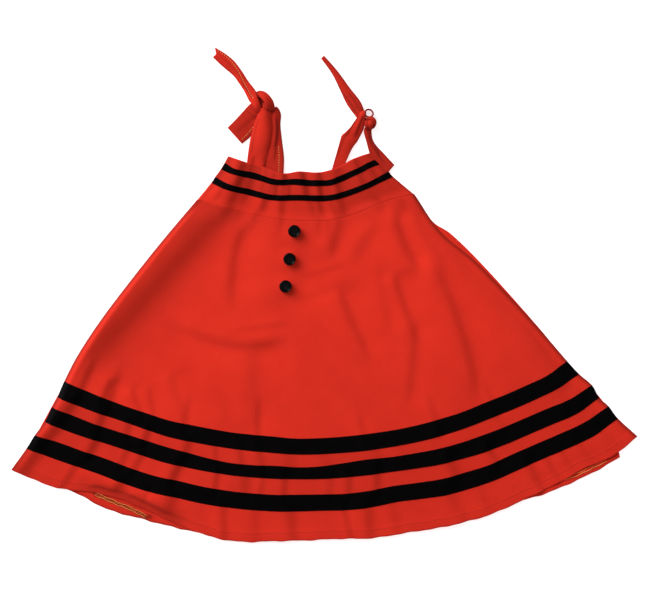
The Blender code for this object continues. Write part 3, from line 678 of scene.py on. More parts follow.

# How much painted shade darkens the cloth of each tie, which is darker than the rest, at its edges
# over what length, and in its creases: at most, and in one a millimetre wide
TIE_SHADE = {
    "strap_left_front": 0.19,
    "strap_left_back": 0.48,
    "tail_left_long": 0.26,
    "tail_left_short": 0.40,
    "strap_right_front": 0.34,
    "strap_right_back": 0.55,
    "tail_right": 0.42,
    "knot_left": 0.36,
    "knot_right": 0.52,
    "loop_right": 1.0,
}
TIE_EDGE_SHADE, TIE_EDGE_REACH = 0.35, 2.2
CREASE_SHADE, SOFT_CREASE_SHADE = 0.75, 0.9

# The share of its length in which a crease dies out at each end, and how far from it, in reaches,
# its height is worked out
CREASE_END, CREASE_MARGIN = 0.25, 2.2

# Small unevenness of a sewn edge: its size, then each sine's share, rate across and shift
RIPPLE = 0.45
RIPPLE_SINES = ((1, 61, 1), (0.8, 137, 2.3), (0.5, 263, 4.1))

# The rounded ends of a swept band: the share of its size at the very end, and over what share of
# its length it grows from that
BAND_END_SHARE, BAND_END = 0.2, 0.12

# How far the yoke's back stays inside the front's outline
YOKE_BACK_INSET = 1.0

# Place and aim of the key light, side of its square, and the camera's place across the floor
KEY_PLACE = (-5.85, 5.25, 3.52)
KEY_AIM = (0.0, -0.05, 0.0)
KEY_SIDE = 5.5
CAMERA_PLACE = (0.00367, -0.00767)
FLOOR_HALF = 6.0
FLOOR_LEVEL = -0.0004


def linear(hex_colour):
    """sRGB hex to linear light: each channel c becomes c/12.92 or ((c + 0.055)/1.055)^2.4."""
    channels = np.array([int(hex_colour[i : i + 2], 16) for i in (1, 3, 5)]) / 255
    straight = np.where(channels <= 0.04045, channels / 12.92, ((channels + 0.055) / 1.055) ** 2.4)
    return tuple(float(c) for c in straight)


class SarafanCloth(bpy.types.PropertyGroup):
    """Sizes and colours of the red cloth"""

    thickness: bpy.props.FloatProperty(
        name="Cloth thickness", description="Thickness of one layer of the cotton",
        default=0.0006, min=0.0002, max=0.002, unit="LENGTH",
    )
    hem_thickness: bpy.props.FloatProperty(
        name="Hem thickness", description="Thickness where the hem is turned up and sewn",
        default=0.0013, min=0.0004, max=0.004, unit="LENGTH",
    )
    loft: bpy.props.FloatProperty(
        name="Loft", description="How far the front lies above its side seams",
        default=0.008, min=0.001, max=0.012, unit="LENGTH",
    )
    thread: bpy.props.FloatProperty(
        name="Thread spacing", description="Distance between threads of the weave, drawn coarse",
        default=0.0009, min=0.0003, max=0.003, unit="LENGTH",
    )
    colour: bpy.props.FloatVectorProperty(
        name="Red", description="Colour of the dyed cotton", subtype="COLOR", size=3,
        default=linear("#e5301f"), min=0.0, max=1.0,
    )
    deep_colour: bpy.props.FloatVectorProperty(
        name="Deep red", description="Colour where the dye took more", subtype="COLOR", size=3,
        default=linear("#de2d1d"), min=0.0, max=1.0,
    )
    # The red of painted shade, mixed in by a mesh attribute where creases, hollows and edges lie
    painted_shade_colour: bpy.props.FloatVectorProperty(
        name="Worn red", description="Colour of cloth that is creased and handled",
        subtype="COLOR", size=3, default=linear("#8f1d12"), min=0.0, max=1.0,
    )


class SarafanTrim(bpy.types.PropertyGroup):
    """Sizes and colours of the ribbons and the sewing"""

    ribbon_thickness: bpy.props.FloatProperty(
        name="Ribbon thickness", description="Thickness of the black ribbon",
        default=0.0004, min=0.0002, max=0.002, unit="LENGTH",
    )
    rib: bpy.props.FloatProperty(
        name="Rib spacing", description="Distance between the ribbon's crosswise ribs",
        default=0.0009, min=0.0003, max=0.003, unit="LENGTH",
    )
    stitch: bpy.props.FloatProperty(
        name="Stitch length", description="Length of one stitch with the gap behind it",
        default=0.0030, min=0.001, max=0.008, unit="LENGTH",
    )
    thread_radius: bpy.props.FloatProperty(
        name="Thread radius", description="Half the sewing thread's thickness",
        default=0.00028, min=0.0001, max=0.001, unit="LENGTH",
    )
    ribbon_colour: bpy.props.FloatVectorProperty(
        name="Black", description="Colour of the ribbon", subtype="COLOR", size=3,
        default=linear("#030203"), min=0.0, max=1.0,
    )
    gold_colour: bpy.props.FloatVectorProperty(
        name="Gold thread", description="Colour of the pale sewing thread", subtype="COLOR", size=3,
        default=linear("#f7b968"), min=0.0, max=1.0,
    )
    orange_thread_colour: bpy.props.FloatVectorProperty(
        name="Orange thread", description="Colour of the overlocking", subtype="COLOR", size=3,
        default=linear("#ffa552"), min=0.0, max=1.0,
    )
    red_thread_colour: bpy.props.FloatVectorProperty(
        name="Red thread", description="Colour of the matching thread", subtype="COLOR", size=3,
        default=linear("#c92819"), min=0.0, max=1.0,
    )


class SarafanButton(bpy.types.PropertyGroup):
    """Sizes and colour of the buttons"""

    rim: bpy.props.FloatProperty(
        name="Rim height", description="How far the rim stands above the dish",
        default=0.0009, min=0.0, max=0.002, unit="LENGTH",
    )
    hole: bpy.props.FloatProperty(
        name="Hole radius", description="Radius of each of the four sewing holes",
        default=0.0009, min=0.0003, max=0.002, unit="LENGTH",
    )
    colour: bpy.props.FloatVectorProperty(
        name="Black", description="Colour of the moulded button", subtype="COLOR", size=3,
        default=linear("#030304"), min=0.0, max=1.0,
    )


class SarafanStage(bpy.types.PropertyGroup):
    """Camera, lights and floor"""

    height: bpy.props.FloatProperty(
        name="Camera height", description="Height of the camera over the floor",
        default=2.5, min=0.5, max=10.0, unit="LENGTH",
    )
    across: bpy.props.FloatProperty(
        name="Width in view", description="How much of the floor the picture is wide",
        default=0.8707, min=0.2, max=5.0, unit="LENGTH",
    )
    key: bpy.props.FloatProperty(
        name="Key light", description="Power of the light at the upper left", default=1080.0,
        min=0.0, max=5000.0, unit="POWER",
    )
    sky: bpy.props.FloatProperty(
        name="Fill", description="Strength of the even light all round", default=0.35,
        min=0.0, max=5.0,
    )
    floor_colour: bpy.props.FloatVectorProperty(
        name="Floor", description="Colour of the floor", subtype="COLOR", size=3,
        default=linear("#fafafa"), min=0.0, max=1.0,
    )


def add_node(tree, kind, inputs=None, links=None, **settings):
    """Adds a node, sets its options and sockets, and links its sockets from others."""
    made = tree.nodes.new(kind)
    for option, value in settings.items():
        setattr(made, option, value)
    for socket, value in (inputs or {}).items():
        made.inputs[socket].default_value = value
    for socket, source in (links or {}).items():
        tree.links.new(source, made.inputs[socket])
    return made


def fresh_material(name, inputs):
    """A material with these shader inputs: itself, its tree, its shader and its mesh's UV map."""
    material = bpy.data.materials.new(name)
    material.use_nodes = True
    tree = material.node_tree
    tree.nodes.clear()
    shader = add_node(tree, "ShaderNodeBsdfPrincipled", inputs)
    add_node(tree, "ShaderNodeOutputMaterial", links={"Surface": shader.outputs["BSDF"]})
    uv = add_node(tree, "ShaderNodeUVMap", uv_map="cut")
    return material, tree, shader, uv.outputs["UV"]


def rgba(colour):
    """A colour of three channels with full opacity."""
    return (*colour, 1.0)


def band_scale(spacing):
    """Scale at which a band wave has one period in the spacing: pi / 10 over it."""
    return np.pi / 10 / spacing


def woven_cotton(cloth):
    """Dyed plain-woven cotton: matt, a little sheen at grazing angles, fine crossed threads.

    The real threads are about 0.4 mm apart, which is too fine to show, so they are drawn at the
    set spacing. A wave of one period a thread runs along and across, and a checker says which of
    the two lies on top.
    """
    material, tree, shader, uv = fresh_material(
        COTTON,
        {
            "Roughness": 0.9, "Specular IOR Level": 0.12, "Sheen Weight": 0.05,
            "Sheen Roughness": 0.5, "Sheen Tint": rgba(linear("#ff6a50")),
        },
    )
    warp = add_node(
        tree, "ShaderNodeTexWave", {"Scale": band_scale(cloth.thread)}, {"Vector": uv},
        wave_type="BANDS", bands_direction="X", wave_profile="SIN",
    )
    weft = add_node(
        tree, "ShaderNodeTexWave", {"Scale": band_scale(cloth.thread)}, {"Vector": uv},
        wave_type="BANDS", bands_direction="Y", wave_profile="SIN",
    )
    over = add_node(tree, "ShaderNodeTexChecker", {"Scale": 1 / cloth.thread}, {"Vector": uv})
    weave = add_node(
        tree, "ShaderNodeMix",
        links={0: over.outputs["Fac"], 2: warp.outputs["Fac"], 3: weft.outputs["Fac"]},
    )
    slubs = add_node(
        tree, "ShaderNodeTexNoise", {"Scale": 260.0, "Detail": 3.0, "Roughness": 0.6},
        {"Vector": uv},
    )
    height = add_node(
        tree, "ShaderNodeMath", {1: 0.7},
        {0: weave.outputs[0], 2: slubs.outputs["Fac"]}, operation="MULTIPLY_ADD",
    )
    bump = add_node(
        tree, "ShaderNodeBump", {"Strength": 0.35, "Distance": 0.00016},
        {"Height": height.outputs[0]},
    )
    patches = add_node(
        tree, "ShaderNodeTexNoise", {"Scale": 26.0, "Detail": 4.0, "Roughness": 0.55},
        {"Vector": uv},
    )
    spread = add_node(
        tree, "ShaderNodeMapRange",
        {"From Min": 0.32, "From Max": 0.68, "To Min": 0.0, "To Max": 1.0},
        {"Value": patches.outputs["Fac"]},
    )
    dyed = add_node(
        tree, "ShaderNodeMix", {6: rgba(cloth.deep_colour), 7: rgba(cloth.colour)},
        {0: spread.outputs[0]}, data_type="RGBA",
    )
    # Painted shade: a mesh attribute mixes the red towards the shade red point by point
    painted_shade = add_node(tree, "ShaderNodeAttribute", attribute_name="painted_shade")
    dulled = add_node(
        tree, "ShaderNodeMix", {7: rgba(cloth.painted_shade_colour)},
        {0: painted_shade.outputs["Fac"], 6: dyed.outputs[2]}, data_type="RGBA",
    )
    tree.links.new(dulled.outputs[2], shader.inputs["Base Color"])
    tree.links.new(bump.outputs["Normal"], shader.inputs["Normal"])
    return material


def grosgrain(trim):
    """Black polyester grosgrain: matt, with fine ribs across it and a little pale lint."""
    material, tree, shader, uv = fresh_material(
        "grosgrain_black", {"Roughness": 0.8, "Specular IOR Level": 0.03}
    )
    ribs = add_node(
        tree, "ShaderNodeTexWave", {"Scale": band_scale(trim.rib)}, {"Vector": uv},
        wave_type="BANDS", bands_direction="X", wave_profile="SIN",
    )
    lint = add_node(
        tree, "ShaderNodeTexNoise", {"Scale": 400.0, "Detail": 2.0}, {"Vector": uv}
    )
    shade = add_node(
        tree, "ShaderNodeMix",
        {6: rgba(trim.ribbon_colour), 7: rgba(linear("#070506"))},
        {0: lint.outputs["Fac"]}, data_type="RGBA",
    )
    bump = add_node(
        tree, "ShaderNodeBump", {"Strength": 0.4, "Distance": 0.00015},
        {"Height": ribs.outputs["Fac"]},
    )
    tree.links.new(shade.outputs[2], shader.inputs["Base Color"])
    tree.links.new(bump.outputs["Normal"], shader.inputs["Normal"])
    return material


def spun_thread(name, colour):
    """Twisted sewing thread: a fine slanting twist and a soft shine."""
    material, tree, shader, uv = fresh_material(
        name, {"Roughness": 0.55, "Specular IOR Level": 0.3}
    )
    twist = add_node(
        tree, "ShaderNodeTexWave", {"Scale": band_scale(THREAD_TWIST)}, {"Vector": uv},
        wave_type="BANDS", bands_direction="DIAGONAL", wave_profile="SIN",
    )
    darker = tuple(0.72 * c for c in colour)
    shade = add_node(
        tree, "ShaderNodeMix", {6: rgba(darker), 7: rgba(colour)},
        {0: twist.outputs["Fac"]}, data_type="RGBA",
    )
    tree.links.new(shade.outputs[2], shader.inputs["Base Color"])
    return material


def moulded_polyester(button):
    """Glossy black moulded polyester: smooth, with fine wear that dulls it in places."""
    material, tree, shader, uv = fresh_material(
        "moulded_polyester_black",
        {"Base Color": rgba(button.colour), "IOR": 1.54, "Specular IOR Level": 0.11},
    )
    handling = add_node(
        tree, "ShaderNodeTexNoise", {"Scale": 500.0, "Detail": 3.0}, {"Vector": uv}
    )
    dulled = add_node(
        tree, "ShaderNodeMapRange",
        {"From Min": 0.35, "From Max": 0.75, "To Min": 0.05, "To Max": 0.11},
        {"Value": handling.outputs["Fac"]},
    )
    tree.links.new(dulled.outputs[0], shader.inputs["Roughness"])
    return material


def material_for(kind):
    """The material of that kind, made once."""
    scene = bpy.context.scene
    trim = scene.sarafan_trim
    makers = {
        COTTON: lambda: woven_cotton(scene.sarafan_cloth),
        "grosgrain_black": lambda: grosgrain(trim),
        "gold_thread": lambda: spun_thread(kind, tuple(trim.gold_colour)),
        "red_thread": lambda: spun_thread(kind, tuple(trim.red_thread_colour)),
        "orange_thread": lambda: spun_thread(kind, tuple(trim.orange_thread_colour)),
        "moulded_polyester_black": lambda: moulded_polyester(scene.sarafan_button),
    }
    return bpy.data.materials.get(kind) or makers[kind]()


def add_piece(name, points, faces, uv, kind, replaced=(), painted_shade=None):
    """One finished object from points in millimetres, with a UV map in metres of cloth.

    The painted shade, where it is given, says from 0 to 1 how far each point's colour is darkened
    towards the red of the shade.
    """
    mesh = bpy.data.meshes.new(name)
    mesh.from_pydata((np.asarray(points) * MM).tolist(), [], faces)
    shape = bmesh.new()
    shape.from_mesh(mesh)
    bmesh.ops.recalc_face_normals(shape, faces=shape.faces)
    shape.to_mesh(mesh)
    shape.free()
    mesh.shade_smooth()
    mesh.set_sharp_from_angle(angle=np.radians(SHARP_ANGLE))
    corners = np.empty(len(mesh.loops), np.int32)
    mesh.loops.foreach_get("vertex_index", corners)
    layer = mesh.uv_layers.new(name="cut")
    layer.data.foreach_set("uv", (np.asarray(uv)[corners] * MM).ravel().astype(np.float32))
    if painted_shade is not None:
        painted_shade_field = mesh.attributes.new("painted_shade", "FLOAT", "POINT")
        painted_shade_field.data.foreach_set("value", np.ravel(painted_shade).astype(np.float32))
    made = bpy.data.objects.new(name, mesh)
    bpy.context.collection.objects.link(made)
    mesh.materials.append(material_for(kind))
    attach(made, BODY)
    if replaced:
        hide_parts(*replaced)
    return made


def smooth_through(values, at):
    """Curve through evenly spaced values, each span a cubic of its four neighbours."""
    values = np.asarray(values, float)
    before, beyond = 2 * values[0] - values[1], 2 * values[-1] - values[-2]
    knots = np.concatenate([[before], values, [beyond]])
    spans = len(values) - 1
    place = np.clip(np.asarray(at, float), 0, 1) * spans
    span = np.minimum(place.astype(int), spans - 1)
    t = (place - span).reshape((-1,) + (1,) * (values.ndim - 1))
    a, b, c, d = (knots[span + k] for k in range(4))
    bend = 2 * a - 5 * b + 4 * c - d + t * (3 * (b - c) + d - a)
    return b + 0.5 * t * (c - a + t * bend)


def smooth_step(x):
    """Rises from 0 to 1 as x does, level at both ends: 3x^2 - 2x^3."""
    x = np.clip(x, 0, 1)
    return x * x * (3 - 2 * x)


def rounded(x):
    """Quarter circle from 0 at x = 0 to 1 at x = 1: the root of 1 - (1 - x)^2."""
    return np.sqrt(1 - (1 - np.clip(x, 0, 1)) ** 2)


def unit(vectors):
    """The same vectors with length 1."""
    return vectors / np.maximum(np.linalg.norm(vectors, axis=-1, keepdims=True), 1e-12)


def rows_between(steps):
    """Row places in line numbers, from a number of steps or the places in each stretch."""
    parts = [
        k + (np.arange(step) / step if np.isscalar(step) else np.array(step))
        for k, step in enumerate(steps)
    ]
    return np.concatenate([*parts, [len(steps)]])


def columns_across(count):
    """Places from 0 to 1, crowded at both ends where the cloth rolls over."""
    crowd = np.array((0, 0.0006, 0.0014, 0.0025, 0.004, 0.0062, 0.0092))
    inner = np.linspace(0.013, 0.987, count - 2 * len(crowd) + 1)
    return np.concatenate([crowd, inner, 1 - crowd[::-1]])


def panel_plan(lines, across, down):
    """Plan of a panel: each line is straight but for its falls, and a cubic joins line to line."""
    rows = []
    for line in lines:
        fall = smooth_through((0, *line.falls, 0), across)
        x = line.left_x + (line.right_x - line.left_x) * across
        y = line.left_y + (line.right_y - line.left_y) * across - fall
        rows.append(np.stack([x, y], -1))
    return smooth_through(rows, down / (len(lines) - 1))


def line_number(lines, name):
    """Where the named line stands among the lines."""
    return [line.name for line in lines].index(name)


def crease_profile(away, drop, width, reach):
    """Height across a crease: -(drop / 2) * tanh(d / width) * exp(-(d / reach)^2)."""
    return -0.5 * drop * np.tanh(away / width) * np.exp(-((away / reach) ** 2))


def beside_crease(plan, crease, pieces=28):
    """Points near a crease: which they are, their distance to its left, and how it fades there.

    The curve is the quadratic through its start, middle and end, in straight pieces. The crease
    dies out over the first and the last quarter of its length.
    """
    start, mid, end = np.array(crease[1:7], float).reshape(3, 2)
    t = np.linspace(0, 1, pieces + 1)[:, None]
    pull = 2 * mid - (start + end) / 2
    curve = (1 - t) ** 2 * start + 2 * t * (1 - t) * pull + t**2 * end
    margin = CREASE_MARGIN * crease.reach
    inside = ((plan > curve.min(0) - margin) & (plan < curve.max(0) + margin)).all(-1)
    spots = plan[inside]
    nearest = np.full(len(spots), np.inf)
    along, side = np.zeros(len(spots)), np.ones(len(spots))
    for k in range(pieces):
        step = curve[k + 1] - curve[k]
        part = np.clip((spots - curve[k]) @ step / (step @ step), 0, 1)
        away = spots - curve[k] - part[:, None] * step
        square = (away**2).sum(-1)
        closer = square < nearest
        nearest = np.where(closer, square, nearest)
        along = np.where(closer, (k + part) / pieces, along)
        side = np.where(closer, np.sign(step[0] * away[:, 1] - step[1] * away[:, 0]), side)
    fade = smooth_step(along / CREASE_END) * smooth_step((1 - along) / CREASE_END)
    return inside, side * np.sqrt(nearest), fade


def crease_height(plan, crease):
    """Height of one crease: its profile at each point's distance, with its fade."""
    inside, away, fade = beside_crease(plan, crease)
    height = np.zeros(plan.shape[:-1])
    height[inside] = fade * crease_profile(away, crease.drop, crease.width, crease.reach)
    return height


def crease_painted_shade(plan, crease):
    """Painted shade along a crease, darker the sharper it is: m * exp(-d^2)."""
    inside, away, fade = beside_crease(plan, crease)
    wear = np.zeros(plan.shape[:-1])
    most = min(CREASE_SHADE, SOFT_CREASE_SHADE / crease.width)
    wear[inside] = most * fade * np.exp(-(away**2))
    return wear


def pucker_height(plan, across, down, pucker):
    """Height of one pucker: a crease that follows the panel's length, measured along its rows."""
    part = (down - pucker.first) / (pucker.last - pucker.first)
    centre = pucker.place + (pucker.end_place - pucker.place) * part
    width = np.linalg.norm(plan[:, -1] - plan[:, 0], axis=-1)
    away = (across[None, :] - centre[:, None]) * width[:, None]
    fade = smooth_step(part / CREASE_END) * smooth_step((1 - part) / CREASE_END)
    return fade[:, None] * crease_profile(away, pucker.drop, pucker.width, pucker.reach)


def seam_height(across):
    """Height of the cloth along the yoke's seam: the sum of its gathers' profiles."""
    gathers = [
        crease_profile((across - place) * SEAM_LENGTH, drop, width, reach)
        for place, drop, width, reach in SEAM_GATHERS
    ]
    return SEAM_LEVEL + sum(gathers)


def hem_ripple(across, seed):
    """Small unevenness of a sewn edge: three sines whose lengths don't fit each other."""
    sines = [share * np.sin(rate * across + shift * seed) for share, rate, shift in RIPPLE_SINES]
    return RIPPLE * sum(sines)


def from_left(plan):
    """Distance of each point from the left edge, along its row."""
    steps = np.linalg.norm(np.diff(plan, axis=1), axis=-1)
    return np.concatenate([np.zeros((len(plan), 1)), np.cumsum(steps, 1)], 1)


def along_path(path):
    """Distance of each point of a path from its start."""
    return from_left(path[None])[0]


def from_sides(plan):
    """Distance of each point from the nearer side edge, along its row."""
    run = from_left(plan)
    return np.minimum(run, run[:, -1:] - run)


def normals(points):
    """Upward unit normal of each grid point, from the cross product of the grid's two ways."""
    down, across = np.gradient(points, axis=0), np.gradient(points, axis=1)
    normal = unit(np.cross(down, across))
    return np.where(normal[..., 2:] < 0, -normal, normal)


def border_distance(points):
    """Distance of each grid point from the nearest border, along its row or column."""
    across = from_sides(points)
    down = from_sides(points.swapaxes(0, 1)).T
    return np.minimum(across, down)


def shell(name, middle, thickness, uv, kind, replaced=(), painted_shade=0.0):
    """Closed sheet round a grid: half the thickness up and down, thinned to a round border."""
    rows, columns = middle.shape[:2]
    half = np.broadcast_to(np.asarray(thickness, float), (rows, columns)) / 2
    full = rounded(border_distance(middle) / half)
    half = half * (BORDER_SHARE + (1 - BORDER_SHARE) * full)
    offset = normals(middle) * half[..., None]
    index = np.arange(rows * columns).reshape(rows, columns)
    top = index + rows * columns
    quads = np.stack([top[:-1, :-1], top[1:, :-1], top[1:, 1:], top[:-1, 1:]], -1).reshape(-1, 4)
    below = np.stack([index[:-1, :-1], index[:-1, 1:], index[1:, 1:], index[1:, :-1]], -1)
    edge = np.concatenate([index[0, :-1], index[:-1, -1], index[-1, :0:-1], index[:0:-1, 0]])
    after = np.roll(edge, -1)
    lift = rows * columns
    rim = np.stack([edge, edge + lift, after + lift, after], -1)
    faces = np.vstack([quads, below.reshape(-1, 4), rim]).tolist()
    points = np.vstack([(middle - offset).reshape(-1, 3), (middle + offset).reshape(-1, 3)])
    flat = np.asarray(uv).reshape(-1, 2)
    painted_shade_field = np.tile(np.broadcast_to(painted_shade, (rows, columns)).ravel(), 2)
    return add_piece(name, points, faces, np.vstack([flat, flat]), kind, replaced, painted_shade_field)


def swept_rings(centre, half_width, half_thickness, roll, sides, fullness=0.8, pleats=0.0):
    """Rings of a flat oval carried along a path, with its ends drawn in round.

    A ring's point at angle a lies w * cos(a)^f to the side and t * sin(a)^f up from the path,
    with f the fullness and the signs kept. Pleats make the radius ripple round the ring.
    """
    way = unit(np.gradient(centre, axis=0))
    side = unit(np.cross(way, (0.0, 0.0, 1.0)))
    rise = np.cross(side, way)
    cosine, sine = np.cos(np.radians(roll))[:, None], np.sin(np.radians(roll))[:, None]
    side, rise = side * cosine + rise * sine, rise * cosine - side * sine
    angle = np.arange(sides) * 2 * np.pi / sides
    out = np.sign(np.cos(angle)) * np.abs(np.cos(angle)) ** fullness
    up = np.sign(np.sin(angle)) * np.abs(np.sin(angle)) ** fullness
    ripple = 1 + pleats * np.cos(5 * angle + np.linspace(0, 1.2, len(centre))[:, None])
    place = np.linspace(0, 1, len(centre))
    full = rounded(np.minimum(place, 1 - place) / BAND_END)
    ends = (BAND_END_SHARE + (1 - BAND_END_SHARE) * full)[:, None]
    wide = (half_width[:, None] * ends * ripple * out)[..., None]
    tall = (half_thickness[:, None] * ends * ripple * up)[..., None]
    return centre[:, None] + wide * side[:, None] + tall * rise[:, None]


def ring_faces(count, sides, first=0):
    """Quads between neighbouring rings and one cap at each end."""
    index = first + np.arange(count * sides).reshape(count, sides)
    after = np.roll(index, -1, axis=1)
    quads = np.stack([index[:-1], after[:-1], after[1:], index[1:]], -1).reshape(-1, 4).tolist()
    return [*quads, index[0, ::-1].tolist(), index[-1].tolist()]


def ring_uv(rings):
    """Along the path and round the ring, as lengths."""
    sides = rings.shape[1]
    along = along_path(rings.mean(1))
    girth = np.linalg.norm(rings[0] - np.roll(rings[0], 1, 0), axis=-1).sum()
    around = np.arange(sides) / sides * max(girth, 6.0)
    return np.stack(np.broadcast_arrays(around[None, :], along[:, None]), -1).reshape(-1, 2)


def spaced(path, step):
    """Points along a path at equal steps of its length."""
    run = along_path(path)
    places = np.arange(0, run[-1], step)
    return np.stack([np.interp(places, run, path[:, k]) for k in range(path.shape[1])], -1)


def stitches(name, path, kind, radius, length, share=0.78):
    """A row of stitches along a path: each is a short arched thread that dips in at both ends.

    Along one stitch s goes from 0 to 1, its radius is r * (0.45 + 0.55 * sin(pi s)) and it rises
    by r * sin(pi s) above the cloth.
    """
    marks = spaced(path, length)
    start, end = marks[:-1], marks[:-1] + (marks[1:] - marks[:-1]) * share
    s = np.linspace(0, 1, 5)
    hump = np.sin(np.pi * s)
    sides = 6
    angle = (np.arange(sides) * 2 * np.pi / sides)[:, None]
    middle = start[:, None] + (end - start)[:, None] * s[:, None]
    middle[..., 2] += radius * (hump - 0.25)
    way = unit(end - start)
    side = unit(np.cross(way, (0.0, 0.0, 1.0)))
    rise = np.cross(side, way)
    size = radius * (0.45 + 0.55 * hump)
    ring = side[:, None] * np.cos(angle) + rise[:, None] * np.sin(angle)
    points = middle[:, :, None] + ring[:, None] * size[:, None, None]
    one = ring_faces(len(s), sides)
    count = len(s) * sides
    faces = [[corner + count * k for corner in face] for k in range(len(start)) for face in one]
    along = s[:, None] * length
    uv = np.stack(np.broadcast_arrays(along, np.arange(sides)[None, :] * radius), -1).reshape(-1, 2)
    flat = points.reshape(-1, 3)
    return add_piece(name, flat, faces, np.tile(uv, (len(start), 1)), kind)


def on_grid(points, rows, columns):
    """Points of a grid at fractional rows and columns, straight between its corners."""
    i = np.clip(rows.astype(int), 0, points.shape[0] - 2)
    j = np.clip(columns.astype(int), 0, points.shape[1] - 2)
    a, b = (rows - i)[:, None], (columns - j)[:, None]
    upper = points[i, j] * (1 - b) + points[i, j + 1] * b
    lower = points[i + 1, j] * (1 - b) + points[i + 1, j + 1] * b
    return upper * (1 - a) + lower * a


def with_height(plan, height):
    """Plan points and their heights as points in space."""
    return np.concatenate([plan, np.broadcast_to(height, plan.shape[:2])[..., None]], -1)


def button_spots():
    """Middle and underside of each button, in millimetres, from the imported parts."""
    spots = []
    for number in (1, 2, 3):
        low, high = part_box(f"button_{number}")
        spots.append(((low.x + high.x) / 2 / MM, (low.y + high.y) / 2 / MM, low.z / MM))
    return spots


def hem_share(from_hem):
    """1 on the turned-up allowance and 0 above it."""
    return 1 - smooth_step((from_hem - HEM_ALLOWANCE) / HEM_END)


def right_share(across):
    """0 over most of the skirt front and 1 at its right, where it lies low on the back."""
    return smooth_step((across - RIGHT_START) / RIGHT_SPAN)


def line_across(lines, across, number):
    """Plan of one line of a panel, by its number."""
    return panel_plan(lines, across, np.full(1, float(number)))


def stopped(top):
    """Keeps a front above its lowest level, softly: L + ln(1 + exp(k * (top - L))) / k."""
    return LOWEST_TOP + np.logaddexp(0, (top - LOWEST_TOP) * STOP_SHARPNESS) / STOP_SHARPNESS


def rolled_to_side(top, sides):
    """Rolls a front down to its side seams."""
    return SIDE_SEAM_LEVEL + (top - SIDE_SEAM_LEVEL) * rounded(sides / SIDE_ROLL)


def skirt_front_top(across, down):
    """Top of the skirt front over a grid, its plan and its distance from the hem.

    The loft grows from the seam and fades towards the sides and the hem, each by a smooth step of
    the distance. Creases and puckers are added to it. Round a button it is calmed to just under
    the button by exp(-(d / r)^2), and at the seam it goes over to the seam's height.
    """
    loft = bpy.context.scene.sarafan_cloth.loft / MM
    last = len(SKIRT_LINES) - 1
    ripple = hem_ripple(across, 1.0)
    plan = panel_plan(SKIRT_LINES, across, down)
    plan[..., 1] += ripple * smooth_step(down - (last - 1))[:, None]
    hem = line_across(SKIRT_LINES, across, last)
    hem[..., 1] += ripple
    from_seam = np.linalg.norm(plan - line_across(SKIRT_LINES, across, 0), axis=-1)
    from_hem = np.linalg.norm(plan - hem, axis=-1)
    sides = from_sides(plan)
    to_right = right_share(across)
    height = loft * (SEAM_LOFT + (1 - SEAM_LOFT) * smooth_step(from_seam / LOFT_REACH))
    rise = smooth_step(from_hem / (HEM_FADE * (1 + RIGHT_FADE_GAIN * to_right)))
    height = height * (HEM_LOFT + (1 - HEM_LOFT) * rise)
    height = height * smooth_step(sides / np.where(across < 0.5, LEFT_FADE, RIGHT_FADE))
    height = height - RIGHT_DROP * to_right * (1 - smooth_step(from_hem / RIGHT_REACH))
    for crease in CREASES:
        height = height + crease_height(plan, crease)
    for pucker in HEM_PUCKERS:
        height = height + pucker_height(plan, across, down, pucker)
    for x, y, underside in button_spots():
        away = np.linalg.norm(plan - (x, y), axis=-1)
        calm = np.exp(-((away / BUTTON_CLEARING) ** 2))
        height = height * (1 - calm) + (underside - BUTTON_GAP - FRONT_BASE) * calm
    joined = smooth_step(from_seam / SEAM_FADE)
    top = stopped(seam_height(across) * (1 - joined) + (FRONT_BASE + height) * joined)
    stitched = np.exp(-(((from_hem - HEM_ALLOWANCE) / STITCH_DENT_WIDTH) ** 2))
    top = top - STITCH_DENT * stitched + HEM_RAISE * hem_share(from_hem)
    top = top - SKIRT_SEAM_DROP * (1 - rounded(from_seam / SEAM_ROLL))
    drop = HEM_ROLL_DROP - RIGHT_ROLL_LOSS * to_right
    top = top - drop * (1 - rounded(from_hem / HEM_ROLL))
    return plan, rolled_to_side(top, sides), from_hem


def yoke_front_top(across, down):
    """Top of the yoke front over a grid: it falls from the neck to the seam, and is gathered.

    Its height is a curve through what each line raises it by, with its puckers added, and goes
    over to the seam's height by a smooth step.
    The whole yoke laps over the skirt at its last row. A ribbon stops short of it, so its distance
    is taken from the seam's own line.
    """
    last = len(YOKE_LINES) - 1
    plan = panel_plan(YOKE_LINES, across, down)
    plan[..., 1] -= SEAM_LAP * smooth_step(down - (last - 1))[:, None]
    seam = plan[-1:] if down[-1] == last else line_across(YOKE_LINES, across, last)
    from_neck = np.linalg.norm(plan - line_across(YOKE_LINES, across, 0), axis=-1)
    from_seam = np.linalg.norm(plan - seam, axis=-1)
    sides = from_sides(plan)
    raised = smooth_through([line.raised for line in YOKE_LINES], down / last)
    side_fade = np.where(across < 0.5, YOKE_LEFT_FADE, YOKE_RIGHT_FADE)
    height = FRONT_BASE + raised[:, None] * smooth_step(sides / side_fade)
    for pucker in YOKE_PUCKERS:
        height = height + pucker_height(plan, across, down, pucker)
    joined = smooth_step(from_seam / YOKE_SEAM_FADE)
    top = stopped(seam_height(across) * (1 - joined) + height * joined)
    top = top - YOKE_SEAM_DROP * (1 - rounded(from_seam / SEAM_ROLL))
    top = top - NECK_ROLL_DROP * (1 - rounded(from_neck / NECK_ROLL))
    return plan, rolled_to_side(top, sides)


